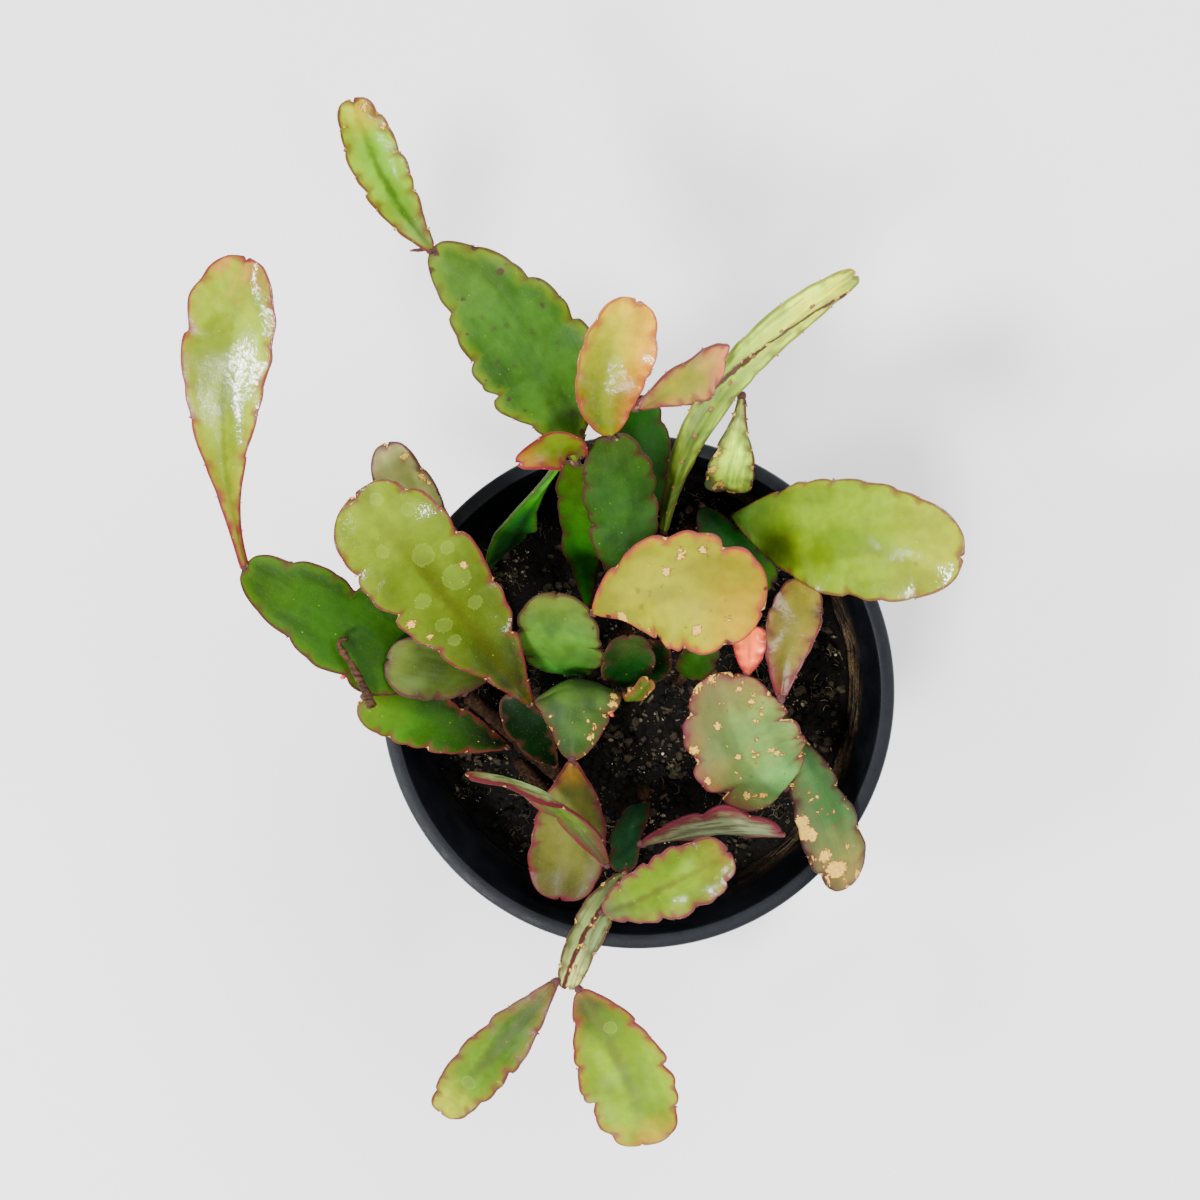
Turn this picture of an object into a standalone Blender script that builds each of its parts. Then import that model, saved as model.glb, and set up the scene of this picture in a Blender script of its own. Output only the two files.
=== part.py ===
"""A potted rhipsalis: flat jointed stem pads on woody stems, in a plain round nursery pot.

Sizes below are millimetres and the meshes are metres. The origin is the centre of the pot's
flat base, +Z is up, and the table stands at z = 0. Every pad is one closed blade that narrows
to a neck at its base. It grows from a stem or from the edge of an older pad.
"""

from math import acos, cos, pi, radians, sin

import bmesh
import bpy
from mathutils import Matrix, Vector, noise

MM = 0.001
GAP = 0.3

# Pot
RIM_DIAMETER = 140.0
POT_HEIGHT = 110.0
BASE_DIAMETER = 100.0
WALL = 1.3
FLOOR = 2.0
LIP_WIDTH = 4.0
LIP_DROP = 12.0
POT_STEPS = 48
DRAIN_HOLES = 8
DRAIN_DIAMETER = 8.0
DRAIN_CIRCLE = 76.0

# Soil
SOIL_TOP = 85.0
SOIL_STEPS = 40
SOIL_RINGS = 6
SOIL_RELIEF = 2.2
SOIL_LUMP = 11.0
ROOT_DEPTH = 12.0
COLLAR = 3.0
HOLE_REACH = 22.0

# Edges sharper than this many degrees stay crisp
CREASE = 50

# Pads
SEAT = 0.85
NECK = 1.3
MARGIN = 0.4
NECK_END = 0.012
TIP_END = 0.22
SECTION_POINTS = 10
LOBE_STATIONS = 4
LOBE_LEAN = 1.4
WAVES_PER_LOBE = 1.15
KEEL_SHARPNESS = 1.7
THINNING = 0.35
THIN_TO_EDGE = 1.5
NOTCH_POWER = 8

GREEN = (0.10, 0.26, 0.06)
DARK_GREEN = (0.04, 0.14, 0.04)
BRIGHT_GREEN = (0.30, 0.42, 0.06)
GREY_GREEN = (0.20, 0.30, 0.14)
YELLOW = (0.52, 0.48, 0.12)
OLIVE = (0.28, 0.24, 0.08)
CORAL = (0.66, 0.30, 0.16)
WOOD = (0.11, 0.07, 0.045)
SOIL = (0.035, 0.026, 0.018)
PLASTIC = (0.02, 0.021, 0.023)


def clear_scene():
    for item in list(bpy.data.objects):
        bpy.data.objects.remove(item, do_unlink=True)


def new_collection(name):
    group = bpy.data.collections.new(name)
    bpy.context.scene.collection.children.link(group)
    return group


def new_material(name, colour, roughness):
    material = bpy.data.materials.new(name)
    material.use_nodes = True
    shader = material.node_tree.nodes["Principled BSDF"]
    shader.inputs["Base Color"].default_value = (*colour, 1)
    shader.inputs["Roughness"].default_value = roughness
    shader.inputs["Metallic"].default_value = 0.0
    return material


def add_object(name, data, group, colour, roughness):
    data.materials.append(new_material(name, colour, roughness))
    item = bpy.data.objects.new(name, data)
    group.objects.link(item)
    return item


def mesh_from(bm, name):
    """Turn a bmesh in millimetres into a mesh in metres."""
    bmesh.ops.scale(bm, vec=(MM, MM, MM), verts=bm.verts)
    mesh = bpy.data.meshes.new(name)
    bm.to_mesh(mesh)
    bm.free()
    mesh.shade_smooth()
    mesh.set_sharp_from_angle(angle=radians(CREASE))
    return mesh


# Pot

def inner_radius(height):
    """Radius of the pot's inner wall at a height above the table."""
    top = RIM_DIAMETER / 2 - LIP_WIDTH
    bottom = BASE_DIAMETER / 2 - WALL
    return bottom + (top - bottom) * (height - FLOOR) / (POT_HEIGHT - FLOOR)


def pot_profile():
    """Half section: inner floor, inner wall, flat rim, hanging lip, outer wall, base."""
    rim = RIM_DIAMETER / 2
    inner = rim - LIP_WIDTH
    base = BASE_DIAMETER / 2
    lip_foot = POT_HEIGHT - LIP_DROP
    under_rim = POT_HEIGHT - WALL
    return [
        (0, FLOOR),
        (base - WALL, FLOOR),
        (inner, POT_HEIGHT - 0.5),
        (inner + 0.6, POT_HEIGHT),
        (rim - 0.5, POT_HEIGHT),
        (rim, POT_HEIGHT - 0.6),
        (rim - 0.5, lip_foot),
        (rim - 0.5 - WALL, lip_foot),
        (rim - WALL, under_rim),
        (inner + WALL, under_rim),
        (base + 0.3, 1.0),
        (base - 0.6, 0),
        (0, 0),
    ]


def build_pot(group, cutters):
    bm = bmesh.new()
    points = [bm.verts.new((radius, 0, height)) for radius, height in pot_profile()]
    for upper, lower in zip(points, points[1:]):
        bm.edges.new((upper, lower))
    pot = add_object("pot", mesh_from(bm, "pot"), group, PLASTIC, 0.45)
    turn = pot.modifiers.new("turn", "SCREW")
    turn.steps = POT_STEPS
    turn.render_steps = POT_STEPS
    turn.use_merge_vertices = True
    turn.merge_threshold = 0.00001
    holes = bmesh.new()
    for index in range(DRAIN_HOLES):
        angle = 2 * pi * (index + 0.5) / DRAIN_HOLES
        centre = (DRAIN_CIRCLE / 2 * cos(angle), DRAIN_CIRCLE / 2 * sin(angle), 0)
        bmesh.ops.create_cone(
            holes, cap_ends=True, segments=12, radius1=DRAIN_DIAMETER / 2,
            radius2=DRAIN_DIAMETER / 2, depth=4 * FLOOR, matrix=Matrix.Translation(centre),
        )
    cut(pot, "drain_holes", holes, cutters)


def cut(target, name, bm, cutters):
    """Take a cutter's shapes out of an object."""
    cutter = bpy.data.objects.new(name, mesh_from(bm, name))
    cutters.objects.link(cutter)
    cutter.hide_render = True
    cutter.display_type = "WIRE"
    hole = target.modifiers.new(name, "BOOLEAN")
    hole.operation = "DIFFERENCE"
    hole.solver = "EXACT"
    hole.object = cutter


# Soil

def soil_height(x, y):
    """Lumpy top of the soil, a little lower against the wall."""
    lumps = noise.noise(Vector((x, y, 0)) / SOIL_LUMP)
    crumbs = noise.noise(Vector((x, y, 40)) / (SOIL_LUMP / 2.6))
    edge = ((x * x + y * y) ** 0.5 / inner_radius(SOIL_TOP)) ** 6
    return SOIL_TOP + SOIL_RELIEF * lumps + 0.6 * SOIL_RELIEF * crumbs - edge


def build_soil(group, cutters, stems):
    bm = bmesh.new()
    bottom = FLOOR + GAP
    depth = SOIL_TOP - bottom
    bmesh.ops.create_cone(
        bm, cap_ends=True, segments=SOIL_STEPS, radius1=inner_radius(bottom) - 2 * GAP,
        radius2=inner_radius(SOIL_TOP) - 2 * GAP, depth=depth,
        matrix=Matrix.Translation((0, 0, bottom + depth / 2)),
    )
    top = max(bm.faces, key=lambda face: face.calc_center_median().z)
    ring_width = inner_radius(SOIL_TOP) / (SOIL_RINGS + 0.6)
    for _ in range(SOIL_RINGS):
        bmesh.ops.inset_region(bm, faces=[top], thickness=ring_width, use_even_offset=False)
    bmesh.ops.poke(bm, faces=[top])
    for vert in bm.verts:
        if vert.co.z > SOIL_TOP - 1:
            vert.co.z = soil_height(vert.co.x, vert.co.y)
    soil = add_object("soil", mesh_from(bm, "soil"), group, SOIL, 0.95)
    holes = bmesh.new()
    for stem in stems:
        if not stem.foot:
            continue
        foot = stem.path[0]
        radius = stem.radius + 2 * GAP
        middle = foot.z - GAP + HOLE_REACH / 2
        bmesh.ops.create_cone(
            holes, cap_ends=True, segments=12, radius1=radius, radius2=radius,
            depth=HOLE_REACH, matrix=Matrix.Translation((foot.x, foot.y, middle)),
        )
    cut(soil, "stem_holes", holes, cutters)


# Woody stems

class Stem:
    """A woody stem. One with a foot stands upright in the soil before it leans."""

    def __init__(self, name, foot, path, radius=2.2, end=0.85):
        self.name = name
        self.foot = foot
        self.radius = radius
        self.end = end
        self.path = [Vector(point) for point in path]
        if foot:
            root = Vector((*foot, SOIL_TOP - ROOT_DEPTH))
            collar = Vector((*foot, SOIL_TOP + COLLAR))
            self.path = [root, collar] + self.path


def build_stem(stem, group):
    curve = bpy.data.curves.new(stem.name, "CURVE")
    curve.dimensions = "3D"
    curve.bevel_depth = stem.radius * MM
    curve.bevel_resolution = 2
    curve.use_fill_caps = True
    spline = curve.splines.new("POLY")
    spline.points.add(len(stem.path) - 1)
    last = len(stem.path) - 1
    for index, point in enumerate(stem.path):
        spline.points[index].co = (*(point * MM), 1)
        spline.points[index].radius = 1 + (stem.end - 1) * index / last
    add_object(stem.name, curve, group, WOOD, 0.85)


# Pads

class Pad:
    """One flat stem joint. Its midline is a quadratic curve from base to tip.

    looks is the way its upper face looks, arch bows the midline that way, sway bows it to
    its right, cup lifts both edges, twist turns it in degrees from base to tip, keel raises
    a third wing on its midline, and broad says how far along it is widest.
    """

    def __init__(self, name, base, tip, looks, width, lobes, colour, arch=3.0, sway=0.0,
                 cup=1.5, twist=0.0, keel=0.0, broad=0.62, rise=1.05, pointed=2.6, taper=0.5,
                 depth=0.12, thick=2.6, ripple=0.7, notch=1.0):
        self.name = name
        self.base = Vector(base)
        self.tip = Vector(tip)
        self.looks = Vector(looks).normalized()
        self.width = width
        self.lobes = lobes
        self.colour = colour
        self.cup = cup
        self.twist = radians(twist)
        self.keel = keel
        self.broad = broad
        self.rise = rise
        self.pointed = pointed
        self.taper = taper
        self.depth = depth
        self.thick = thick
        self.ripple = ripple
        self.notch = notch
        chord = self.tip - self.base
        across = chord.cross(self.looks).normalized()
        face = across.cross(chord).normalized()
        self.bend = (self.base + self.tip) / 2 + 2 * arch * face + 2 * sway * across

    def middle(self, along):
        start = self.base.lerp(self.bend, along)
        return start.lerp(self.bend.lerp(self.tip, along), along)

    def axes(self, along):
        """Directions along the pad, to its right and out of its upper face."""
        heading = (self.bend - self.base).lerp(self.tip - self.bend, along).normalized()
        right = heading.cross(self.looks).normalized()
        right = Matrix.Rotation(self.twist * (along - 0.5), 3, heading) @ right
        return heading, right, right.cross(heading)

    def fullness(self, along):
        """Share of the full width, before the lobes: narrow base, broad rounded tip."""
        if along < self.broad:
            return sin(pi / 2 * along / self.broad) ** self.rise
        rest = (along - self.broad) / (1 - self.broad)
        return max(1 - rest ** self.pointed, 0) ** self.taper

    def half_width(self, along, side):
        """Half width on one side, where round lobes meet in sharp notches."""
        phase = (self.lobes * along + (0.5 if side > 0 else 0.0)) % 1.0
        tooth = 1 - self.depth * (1 - sin(pi * phase ** LOBE_LEAN)) ** 2
        return NECK + (self.width / 2 - NECK) * self.fullness(along) * tooth

    def half_thickness(self, along, across):
        middle = self.thick / 2 * (1 - THINNING * along)
        return MARGIN + (middle - MARGIN) * (1 - abs(across)) ** THIN_TO_EDGE

    def surface(self, along, across, face=0):
        """Point of the pad: across runs from -1 to 1, face is 1 above, -1 below, 0 between."""
        heading, right, up = self.axes(along)
        full = self.fullness(along)
        point = self.middle(along) + right * across * self.half_width(along, across)
        lift = self.cup * full * (across * across - 0.25)
        wave = sin(WAVES_PER_LOBE * pi * self.lobes * along + across)
        lift += self.ripple * full * wave * across ** 3
        if face > 0 and self.keel:
            lift += self.keel * full * max(1 - KEEL_SHARPNESS * abs(across), 0)
        point = point + up * (lift + face * self.half_thickness(along, across))
        return point - heading * self.notch * (1 - abs(across)) ** 2 * along ** NOTCH_POWER

    def stations(self):
        """Places of the rings along the pad, close together at the neck and the tip."""
        count = LOBE_STATIONS * self.lobes
        regular = [index / count for index in range(1, count)]
        return [0.0, NECK_END] + regular + [1 - TIP_END / count, 1.0]


def seat(parent, along, across, off=SEAT):
    """Place just off an older pad's edge, where a younger pad's neck begins."""
    heading, right, _ = parent.axes(along)
    outward = heading * (1 - abs(across)) + right * across
    if abs(across) < 1:
        outward = heading
    return parent.surface(along, across) + outward.normalized() * off


def crest(parent, along):
    """Place just above the third wing of an older pad."""
    return parent.surface(along, 0, 1) + parent.axes(along)[2] * SEAT


def split_alike(bm, rings, spread):
    """Split both faces of a blade along matching diagonals, so that they never cross."""
    for face in list(bm.faces):
        if len(face.verts) != 4:
            continue
        lower = min(rings[vert] for vert in face.verts)
        inner = min(spread[vert] for vert in face.verts)
        near = next(v for v in face.verts if rings[v] == lower and spread[v] <= inner + 0.01)
        corners = list(face.verts)
        far = corners[(corners.index(near) + 2) % 4]
        bmesh.utils.face_split(face, near, far)


def build_pad(pad, group):
    """Map a sphere with its poles at base and tip onto the pad's surface."""
    stations = pad.stations()
    last = len(stations) - 1
    bm = bmesh.new()
    bmesh.ops.create_uvsphere(bm, u_segments=SECTION_POINTS, v_segments=last, radius=1)
    edge_reach = cos(pi / SECTION_POINTS)
    rings = {}
    spread = {}
    for vert in bm.verts:
        ring = round(last * (1 - acos(max(-1.0, min(1.0, vert.co.z))) / pi))
        girth = (vert.co.x ** 2 + vert.co.y ** 2) ** 0.5
        at_pole = ring in (0, last)
        across = 0.0 if at_pole else max(-1.0, min(1.0, -vert.co.x / girth / edge_reach))
        face = 0 if at_pole else (1 if vert.co.y > 0 else -1)
        rings[vert] = ring
        spread[vert] = round(abs(across), 3)
        vert.co = pad.surface(stations[ring], across, face)
    split_alike(bm, rings, spread)
    add_object(pad.name, mesh_from(bm, pad.name), group, pad.colour, 0.4)


def grow_stems():
    return [
        Stem("stem_north_front", (-3, 15), [(-4.3, 24.4, 102)]),
        Stem("stem_north_back", (-13, 14), [(-13.8, 23.4, 92)]),
        Stem("stem_north_low", (-2.5, 37), [(0.5, 41.6, 94)], radius=1.8),
        Stem("stem_north_east", (4, 34), [(7.4, 44, 96.8)]),
        Stem("stem_east_far", (14, 44), [(17.8, 50, 95.8)]),
        Stem("stem_east_near", (12, 2), [(13.3, 3.7, 98.3)], radius=1.8),
        Stem("stem_east_low", (31, 3), [(36.9, -2.8, 101.8)]),
        Stem("stem_centre", (-19.5, 11.5), [(-19.4, 5.2, 98.3)], radius=2.0),
        Stem("stem_curled", (-17, -6.5), [(-18, -1.8, 99.7)], radius=1.8),
        Stem("stem_middle", (-2, -2), [(-3.3, 0.8, 101.6)]),
        Stem("stem_west_old", (-21.8, -25.4), [(-34, -14, 95), (-47, -1.5, 103.5)], radius=2.5),
        Stem("stem_west_stub", (-25.5, -31), [(-34, -20.5, 92)], radius=2.0),
        Stem("stem_west_middle", (-33, 2), [(-40, 4, 107.2)], radius=1.8),
        Stem("stem_west_back", (-38, 21), [(-45.2, 24.7, 101.8)]),
        Stem("stem_south", (2.4, -30.5), [(2.0, -32.5, 90.5)]),
    ]


def grow_north():
    """Shoots on the far side, with the coral young pads on top."""
    front = Pad("pad_north_front", (-4.3, 25, 102.4), (-7.6, 66, 148), (0.1, -0.75, 0.65), 20, 4,
                GREEN, arch=2, cup=-1.5, sway=1.5)
    coral = Pad("pad_coral", seat(front, 1, 0), (-1.5, 94.5, 172), (0.2, -0.6, 0.75), 19, 3,
                CORAL, sway=-4, cup=2, depth=0.06, rise=0.75)
    olive = Pad("pad_coral_right", seat(coral, 0.22, 1, 1.1), (21, 85, 146), (0.1, -0.6, 0.8),
                14, 3, OLIVE, sway=-2, cup=2, depth=0.06, rise=1.3, pointed=3)
    folded = Pad("pad_coral_left", seat(front, 0.92, -1, 1.3), (-30.5, 57.6, 158),
                 (-0.2, -0.4, 0.9), 10, 2, CORAL, sway=4.5, cup=4, depth=0.06, pointed=1.3,
                 taper=0.8, rise=0.9)
    back = Pad("pad_north_back", (-13.8, 24, 92.4), (-16.4, 60.2, 138), (-0.35, -0.65, 0.65),
               12.5, 4, GREEN, arch=0, depth=0.06)
    large = Pad("pad_large_dark", seat(back, 1, 0), (-50, 107.5, 166), (0.1, -0.3, 1), 31, 5,
                GREEN, sway=6, broad=0.45, rise=1.4, pointed=1.5, taper=0.65)
    narrow = Pad("pad_top_left", seat(large, 1, 0), (-66, 137.6, 182), (0.3, -0.3, 1), 13, 4,
                 BRIGHT_GREEN, cup=3, sway=-2.5, pointed=2.2)
    crescent = Pad("pad_crescent", seat(back, 0.95, -1, 1.1), (-38, 37, 99), (0.6, -0.6, 0.5),
                   16, 3, DARK_GREEN, sway=7.2, rise=2.1, depth=0.06)
    shaded = Pad("pad_north_shaded", (0.8, 42, 94.5), (-0.5, 77.8, 132), (0.2, -0.6, 0.8), 16, 3,
                 DARK_GREEN)
    winged = Pad("pad_winged", (7.6, 44.4, 97.2), (52.7, 104.6, 152), (-0.1, -0.3, 0.9), 10, 5,
                 GREY_GREEN, keel=5, sway=-10.5, cup=-2, broad=0.6, depth=0.06)
    hanging = Pad("pad_hanging", seat(winged, 0.52, 1, 1.1), (23.6, 54.2, 112), (0, -0.6, 0.8), 14, 3,
                  GREY_GREEN, arch=2, depth=0.16, broad=0.78, rise=2.1, pointed=4)
    return [front, coral, olive, folded, back, large, narrow, crescent, shaded, winged, hanging]


def grow_east():
    """Shoots on the right, with the glossy pad and the scarred fan above the soil."""
    parent = Pad("pad_east_low", (18.4, 51, 97.2), (38, 29.2, 104), (0.3, 0.2, 0.9), 15, 3,
                 DARK_GREEN, arch=0, cup=0, rise=0.8, broad=0.45, sway=2.5)
    glossy = Pad("pad_glossy", seat(parent, 0.2, -1, 2.2), (79.2, 35.4, 150), (0, -0.1, 1), 31, 4,
                 BRIGHT_GREEN, arch=9, depth=0.05, cup=-2, rise=1.1, broad=0.6)
    small = Pad("pad_east_small", (13.5, 4.2, 98.8), (19.5, 14.2, 113), (-0.2, -0.4, 0.9), 11, 2,
                DARK_GREEN)
    over_rim = Pad("pad_over_rim", (37.4, -3.6, 102), (57.4, -53.3, 110), (0.3, -0.1, 0.9), 18, 4,
                   GREY_GREEN, arch=11, cup=-2, broad=0.72, rise=1.3, sway=2)
    fan = Pad("pad_fan", seat(over_rim, 0.42, 1), (24, 6.6, 133), (-0.25, 0, 1), 31.5, 4,
              GREY_GREEN, arch=3.5, depth=0.15, broad=0.45, sway=-4.5, rise=0.35, pointed=2.2)
    stripe = Pad("pad_east_stripe", seat(fan, 0.84, 1, 1.1), (45.6, 29.6, 115), (-0.2, -0.3, 1), 14.5, 3,
                 OLIVE, arch=1, depth=0.05, sway=-1.5)
    salmon = Pad("pad_salmon", seat(fan, 0.99, 0.9), (27, 18.5, 141), (0, -0.4, 0.9), 9, 2,
                 CORAL, depth=0.05, broad=0.8, rise=1.5)
    return [parent, glossy, small, over_rim, fan, stripe, salmon]


def grow_west():
    """Shoots on the left, which reach over the rim."""
    dark = Pad("pad_west_dark", (-47.9, -0.6, 104.2), (-102.4, 33.8, 130), (-0.1, 0.25, 1), 27, 4,
               DARK_GREEN, arch=11, broad=0.5, rise=1.35, pointed=1.5, sway=-1.5, depth=0.17)
    long = Pad("pad_west_long", seat(dark, 1, 0), (-95.5, 108, 156), (0.1, -0.2, 1), 23, 4,
               BRIGHT_GREEN, sway=-5, twist=-30, depth=0.08, broad=0.75, rise=2.4)
    olive = Pad("pad_west_olive", (-40.4, 4.2, 107.6), (-66.5, 9.5, 126), (-0.3, 0, 1), 18, 2,
                OLIVE, depth=0.05)
    low = Pad("pad_west_low", (-36.6, -16, 97.2), (-75, -1.5, 116.5), (-0.2, 0.15, 1), 17, 4,
              BRIGHT_GREEN, arch=2, cup=0, pointed=3)
    behind = Pad("pad_west_behind", (-45.4, 25.2, 102.2), (-65, 65.5, 134), (-0.2, 0, 1), 18, 3,
                 OLIVE, arch=4, pointed=2, sway=-1)
    hidden = Pad("pad_west_hidden", (-23.2, -21.6, 92.5), (-35, 0, 109), (-0.2, 0.1, 1), 12, 2,
                 DARK_GREEN)
    return [dark, long, olive, low, behind, hidden]


def grow_curl(dark):
    """A dried brown strand that grows from the dark west pad's edge and curls over its face."""
    turns = ((0.43, -0.8, 3.4), (0.5, -0.62, 3.2), (0.56, -0.42, 3.2), (0.59, -0.25, 3.6),
             (0.55, -0.15, 5.0))
    path = [seat(dark, 0.38, -1) + Vector((0, -1.8, 0.8))]
    for along, across, lift in turns:
        path.append(dark.surface(along, across, 1) + Vector((0, 0, lift)))
    return Stem("dried_curl", None, path, radius=1.3, end=0.5)


def grow_centre():
    """Pads in the middle of the pot and those that they carry."""
    round_pad = Pad("pad_round", (-19.4, 4.6, 99), (-21.5, 27, 138), (-0.1, -0.65, 0.75), 24, 3,
                    GREEN, rise=0.5, broad=0.5)
    yellow = Pad("pad_yellow", seat(round_pad, 0.85, 1), (30, 22.1, 150), (0, -0.1, 1), 31, 4,
                 YELLOW, arch=8, cup=-2, sway=-6)
    curled = Pad("pad_curled", (-18, -1.5, 100.4), (-17.7, -17.5, 122), (0, 0.65, 0.75), 25, 3,
                 GREEN, arch=12, cup=-4, broad=0.42, pointed=1.7, taper=0.7, sway=-1.5)
    bright = Pad("pad_bright", seat(curled, 0.45, 1), (-71, 51, 150), (0, -0.1, 1), 30, 5,
                 BRIGHT_GREEN, arch=5, sway=2, broad=0.68, pointed=3.2, rise=1.2)
    bronze = Pad("pad_bronze", seat(curled, 1, 0), (-21.5, -58, 104), (0, -0.2, 1), 21.5, 3,
                 OLIVE, arch=-3.2, depth=0.05, sway=-1, pointed=3.2)
    chip = Pad("pad_chip", seat(curled, 0.46, -1, 1.1), (2.8, 4.6, 123), (0.2, -0.3, 0.9), 6, 2,
               GREEN, cup=0, rise=2.7)
    middle = Pad("pad_middle", (-3.4, 1.2, 102), (-3, 16.1, 124), (0.1, -0.6, 0.8), 15, 3,
                 DARK_GREEN)
    shaded = Pad("pad_middle_shaded", (0.8, 1.6, 95), (4.2, 14.5, 112), (0.1, -0.6, 0.8), 13, 2,
                 DARK_GREEN)
    return [round_pad, yellow, curled, bright, bronze, chip, middle, shaded]


def grow_south():
    """The near shoot, which hangs over the rim with a pair of pads at its end."""
    foot = Pad("pad_south_foot", (2, -33.3, 91.4), (-3.4, -47.8, 118), (-0.4, 0.3, 0.8), 11, 2,
               DARK_GREEN, rise=0.4)
    edge = Pad("pad_south_edge", seat(foot, 1, 0.3), (-19, -77.5, 124), (0.05, -0.2, 1), 10, 3,
               GREY_GREEN, arch=1, keel=4, sway=2.5, broad=0.4, rise=0.8)
    west = Pad("pad_south_left", seat(foot, 0.9, 1), (-42.5, -17.5, 156), (-0.5, -0.7, 0.4), 13,
               3, GREY_GREEN, arch=-6, twist=-50, broad=0.4, pointed=1.4, taper=0.8)
    east = Pad("pad_south_bright", crest(edge, 0.34), (22.4, -38, 140), (0, -0.2, 1), 19, 4,
               BRIGHT_GREEN, rise=0.7)
    blade = Pad("pad_south_back", seat(foot, 0.8, -1), (36.3, -34, 136), (-0.1, 0.75, -0.65), 16, 3,
                GREY_GREEN, arch=3)
    left = Pad("pad_south_end_left", seat(edge, 0.96, 1), (-54.5, -116.5, 104), (-0.2, -0.1, 1),
               16, 4, BRIGHT_GREEN, broad=0.52, pointed=2.2)
    right = Pad("pad_south_end_right", seat(edge, 0.98, -1), (1.5, -127, 100), (0, -0.2, 1),
                26, 4, BRIGHT_GREEN, sway=-3.5, rise=0.8, broad=0.52, pointed=2.2)
    return [foot, edge, west, east, blade, left, right]


def main():
    clear_scene()
    group = new_collection("potted_rhipsalis")
    cutters = new_collection("cutters")
    west = grow_west()
    stems = grow_stems() + [grow_curl(west[0])]
    build_pot(group, cutters)
    build_soil(group, cutters, stems)
    for stem in stems:
        build_stem(stem, group)
    for pad in grow_north() + grow_east() + west + grow_centre() + grow_south():
        build_pad(pad, group)


main()
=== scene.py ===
"""Looks of the potted rhipsalis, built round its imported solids.

Sizes below are millimetres and the meshes are metres. The origin is the centre of the pot's
flat base, +Z is up, and the floor is at z = 0. Each pad follows the same curves as its solid,
with finer lobes, rounded margins and areoles in the notches.
"""

from math import atan2, cos, hypot, pi, radians, sin
from random import Random

import bmesh
import bpy
from mathutils import Euler, Matrix, Vector, noise


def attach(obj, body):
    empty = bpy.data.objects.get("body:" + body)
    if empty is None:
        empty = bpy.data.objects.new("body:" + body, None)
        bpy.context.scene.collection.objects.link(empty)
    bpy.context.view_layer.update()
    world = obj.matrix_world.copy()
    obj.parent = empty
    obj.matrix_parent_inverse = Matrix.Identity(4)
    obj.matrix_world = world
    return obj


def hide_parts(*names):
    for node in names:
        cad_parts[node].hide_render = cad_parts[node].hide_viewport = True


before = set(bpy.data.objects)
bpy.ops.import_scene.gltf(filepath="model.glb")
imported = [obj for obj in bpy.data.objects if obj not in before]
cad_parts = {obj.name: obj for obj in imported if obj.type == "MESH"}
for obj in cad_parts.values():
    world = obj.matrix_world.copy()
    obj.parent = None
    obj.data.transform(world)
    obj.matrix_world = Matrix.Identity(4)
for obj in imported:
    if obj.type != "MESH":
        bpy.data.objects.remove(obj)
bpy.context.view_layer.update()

MM = 0.001

# Pot
RIM_DIAMETER = 140.0
POT_HEIGHT = 110.0
BASE_DIAMETER = 100.0
WALL = 1.3
FLOOR = 2.0
LIP_WIDTH = 4.0
LIP_DROP = 12.0
LEDGE = 34.0
HUB = 14.0
POT_TURNS = 180
DRAIN_HOLES = 8
DRAIN_DIAMETER = 8.0
DRAIN_CIRCLE = 76.0
SHARP_FROM = radians(35)

# Soil
SOIL_TOP = 85.0
SOIL_STEPS = 170
SOIL_RINGS = 52
SOIL_RELIEF = 2.2
SOIL_LUMP = 11.0
ROOT_DEPTH = 12.0
COLLAR = 3.0

# Loose soil: how many of each there are, how far out they lie, and the threads' steps
CRUMBS = 5000
CRUMB_REACH = 59.5
GRIT = 240
GRIT_REACH = 59.0
BARK_CHIPS = 60
CHIP_REACH = 58.0
TUFTS = 95
TUFT_REACH = 59.0
THREADS_IN_TUFT = 15
THREAD_REACH = 60.3
THREAD_STEP = 0.55
WALL_THREADS = 26
WALL_THREAD_STEP = 0.9

# Pads
SEAT = 0.85
NECK = 1.3
MARGIN = 0.4
SECTION_POINTS = 32
QUARTER = SECTION_POINTS // 4
MARGIN_RINGS = 3
INTO_MARGIN = (0.0, 0.12, 0.45, 1.0)
LOBE_STATIONS = 22
LOBE_LEAN = 1.4
WAVES_PER_LOBE = 1.15
KEEL_SHARPNESS = 1.7
THINNING = 0.35
THIN_TO_EDGE = 1.5
NOTCH_POWER = 8
END_ROUNDING = 1.1
CRINKLE = 0.55
CRINKLE_LENGTH = 13.0
CRINKLE_WIDTH = 6.0
PLEAT = 1.2
EDGE_WANDER = 0.35
EDGE_LENGTH = 5.0
TOOTH_REACH = 0.2
TOOTH_DEPTH = 0.45
TOOTH_LEAN = 0.55
TOOTH_POWER = 1.6
SMALL_NOTCH_OFF = 0.5
BROAD_PAD = 20.0
NOTCH_SPREAD = 0.5
NOTCH_SHARE = 1.2

# Woody parts
STEM_STEP = 0.9
STEM_SIDES = 14
STRAND_SIDES = 12
BARK_ACROSS = 0.9
BARK_ALONG = 0.28
BATCH = 80

# Skin
WAX_DEPTH = 0.09
WAX_LENGTH = 1.0
SKIN_RELIEF = 0.16
SKIN_SPECULAR = 0.08
FAR_OFF = 9.0
SIDES_APART = 60.0
PADS_APART = 17.3

# Studio, in metres and degrees: each lamp's bearing from +X, its rise, its size and its power
LAMPS = {
    "key_window": (-128, 60, 0.3, 34),
    "west_window": (-176, 44, 0.22, 14),
    "west_low": (-164, 18, 0.2, 8),
    "south_low": (-74, 17, 0.16, 6),
    "south_high": (-48, 71, 0.12, 2),
    "north_fill": (68, 40, 0.9, 22),
    "east_fill": (5, 46, 0.9, 14),
}
LAMP_DISTANCE = 1.5
PLANT_MIDDLE = 0.12
SKY_LIGHT = 0.5
FLOOR_REACH = 3.0
CAMERA_PLACE = (-0.0103, 0.025, 0.52)

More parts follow.
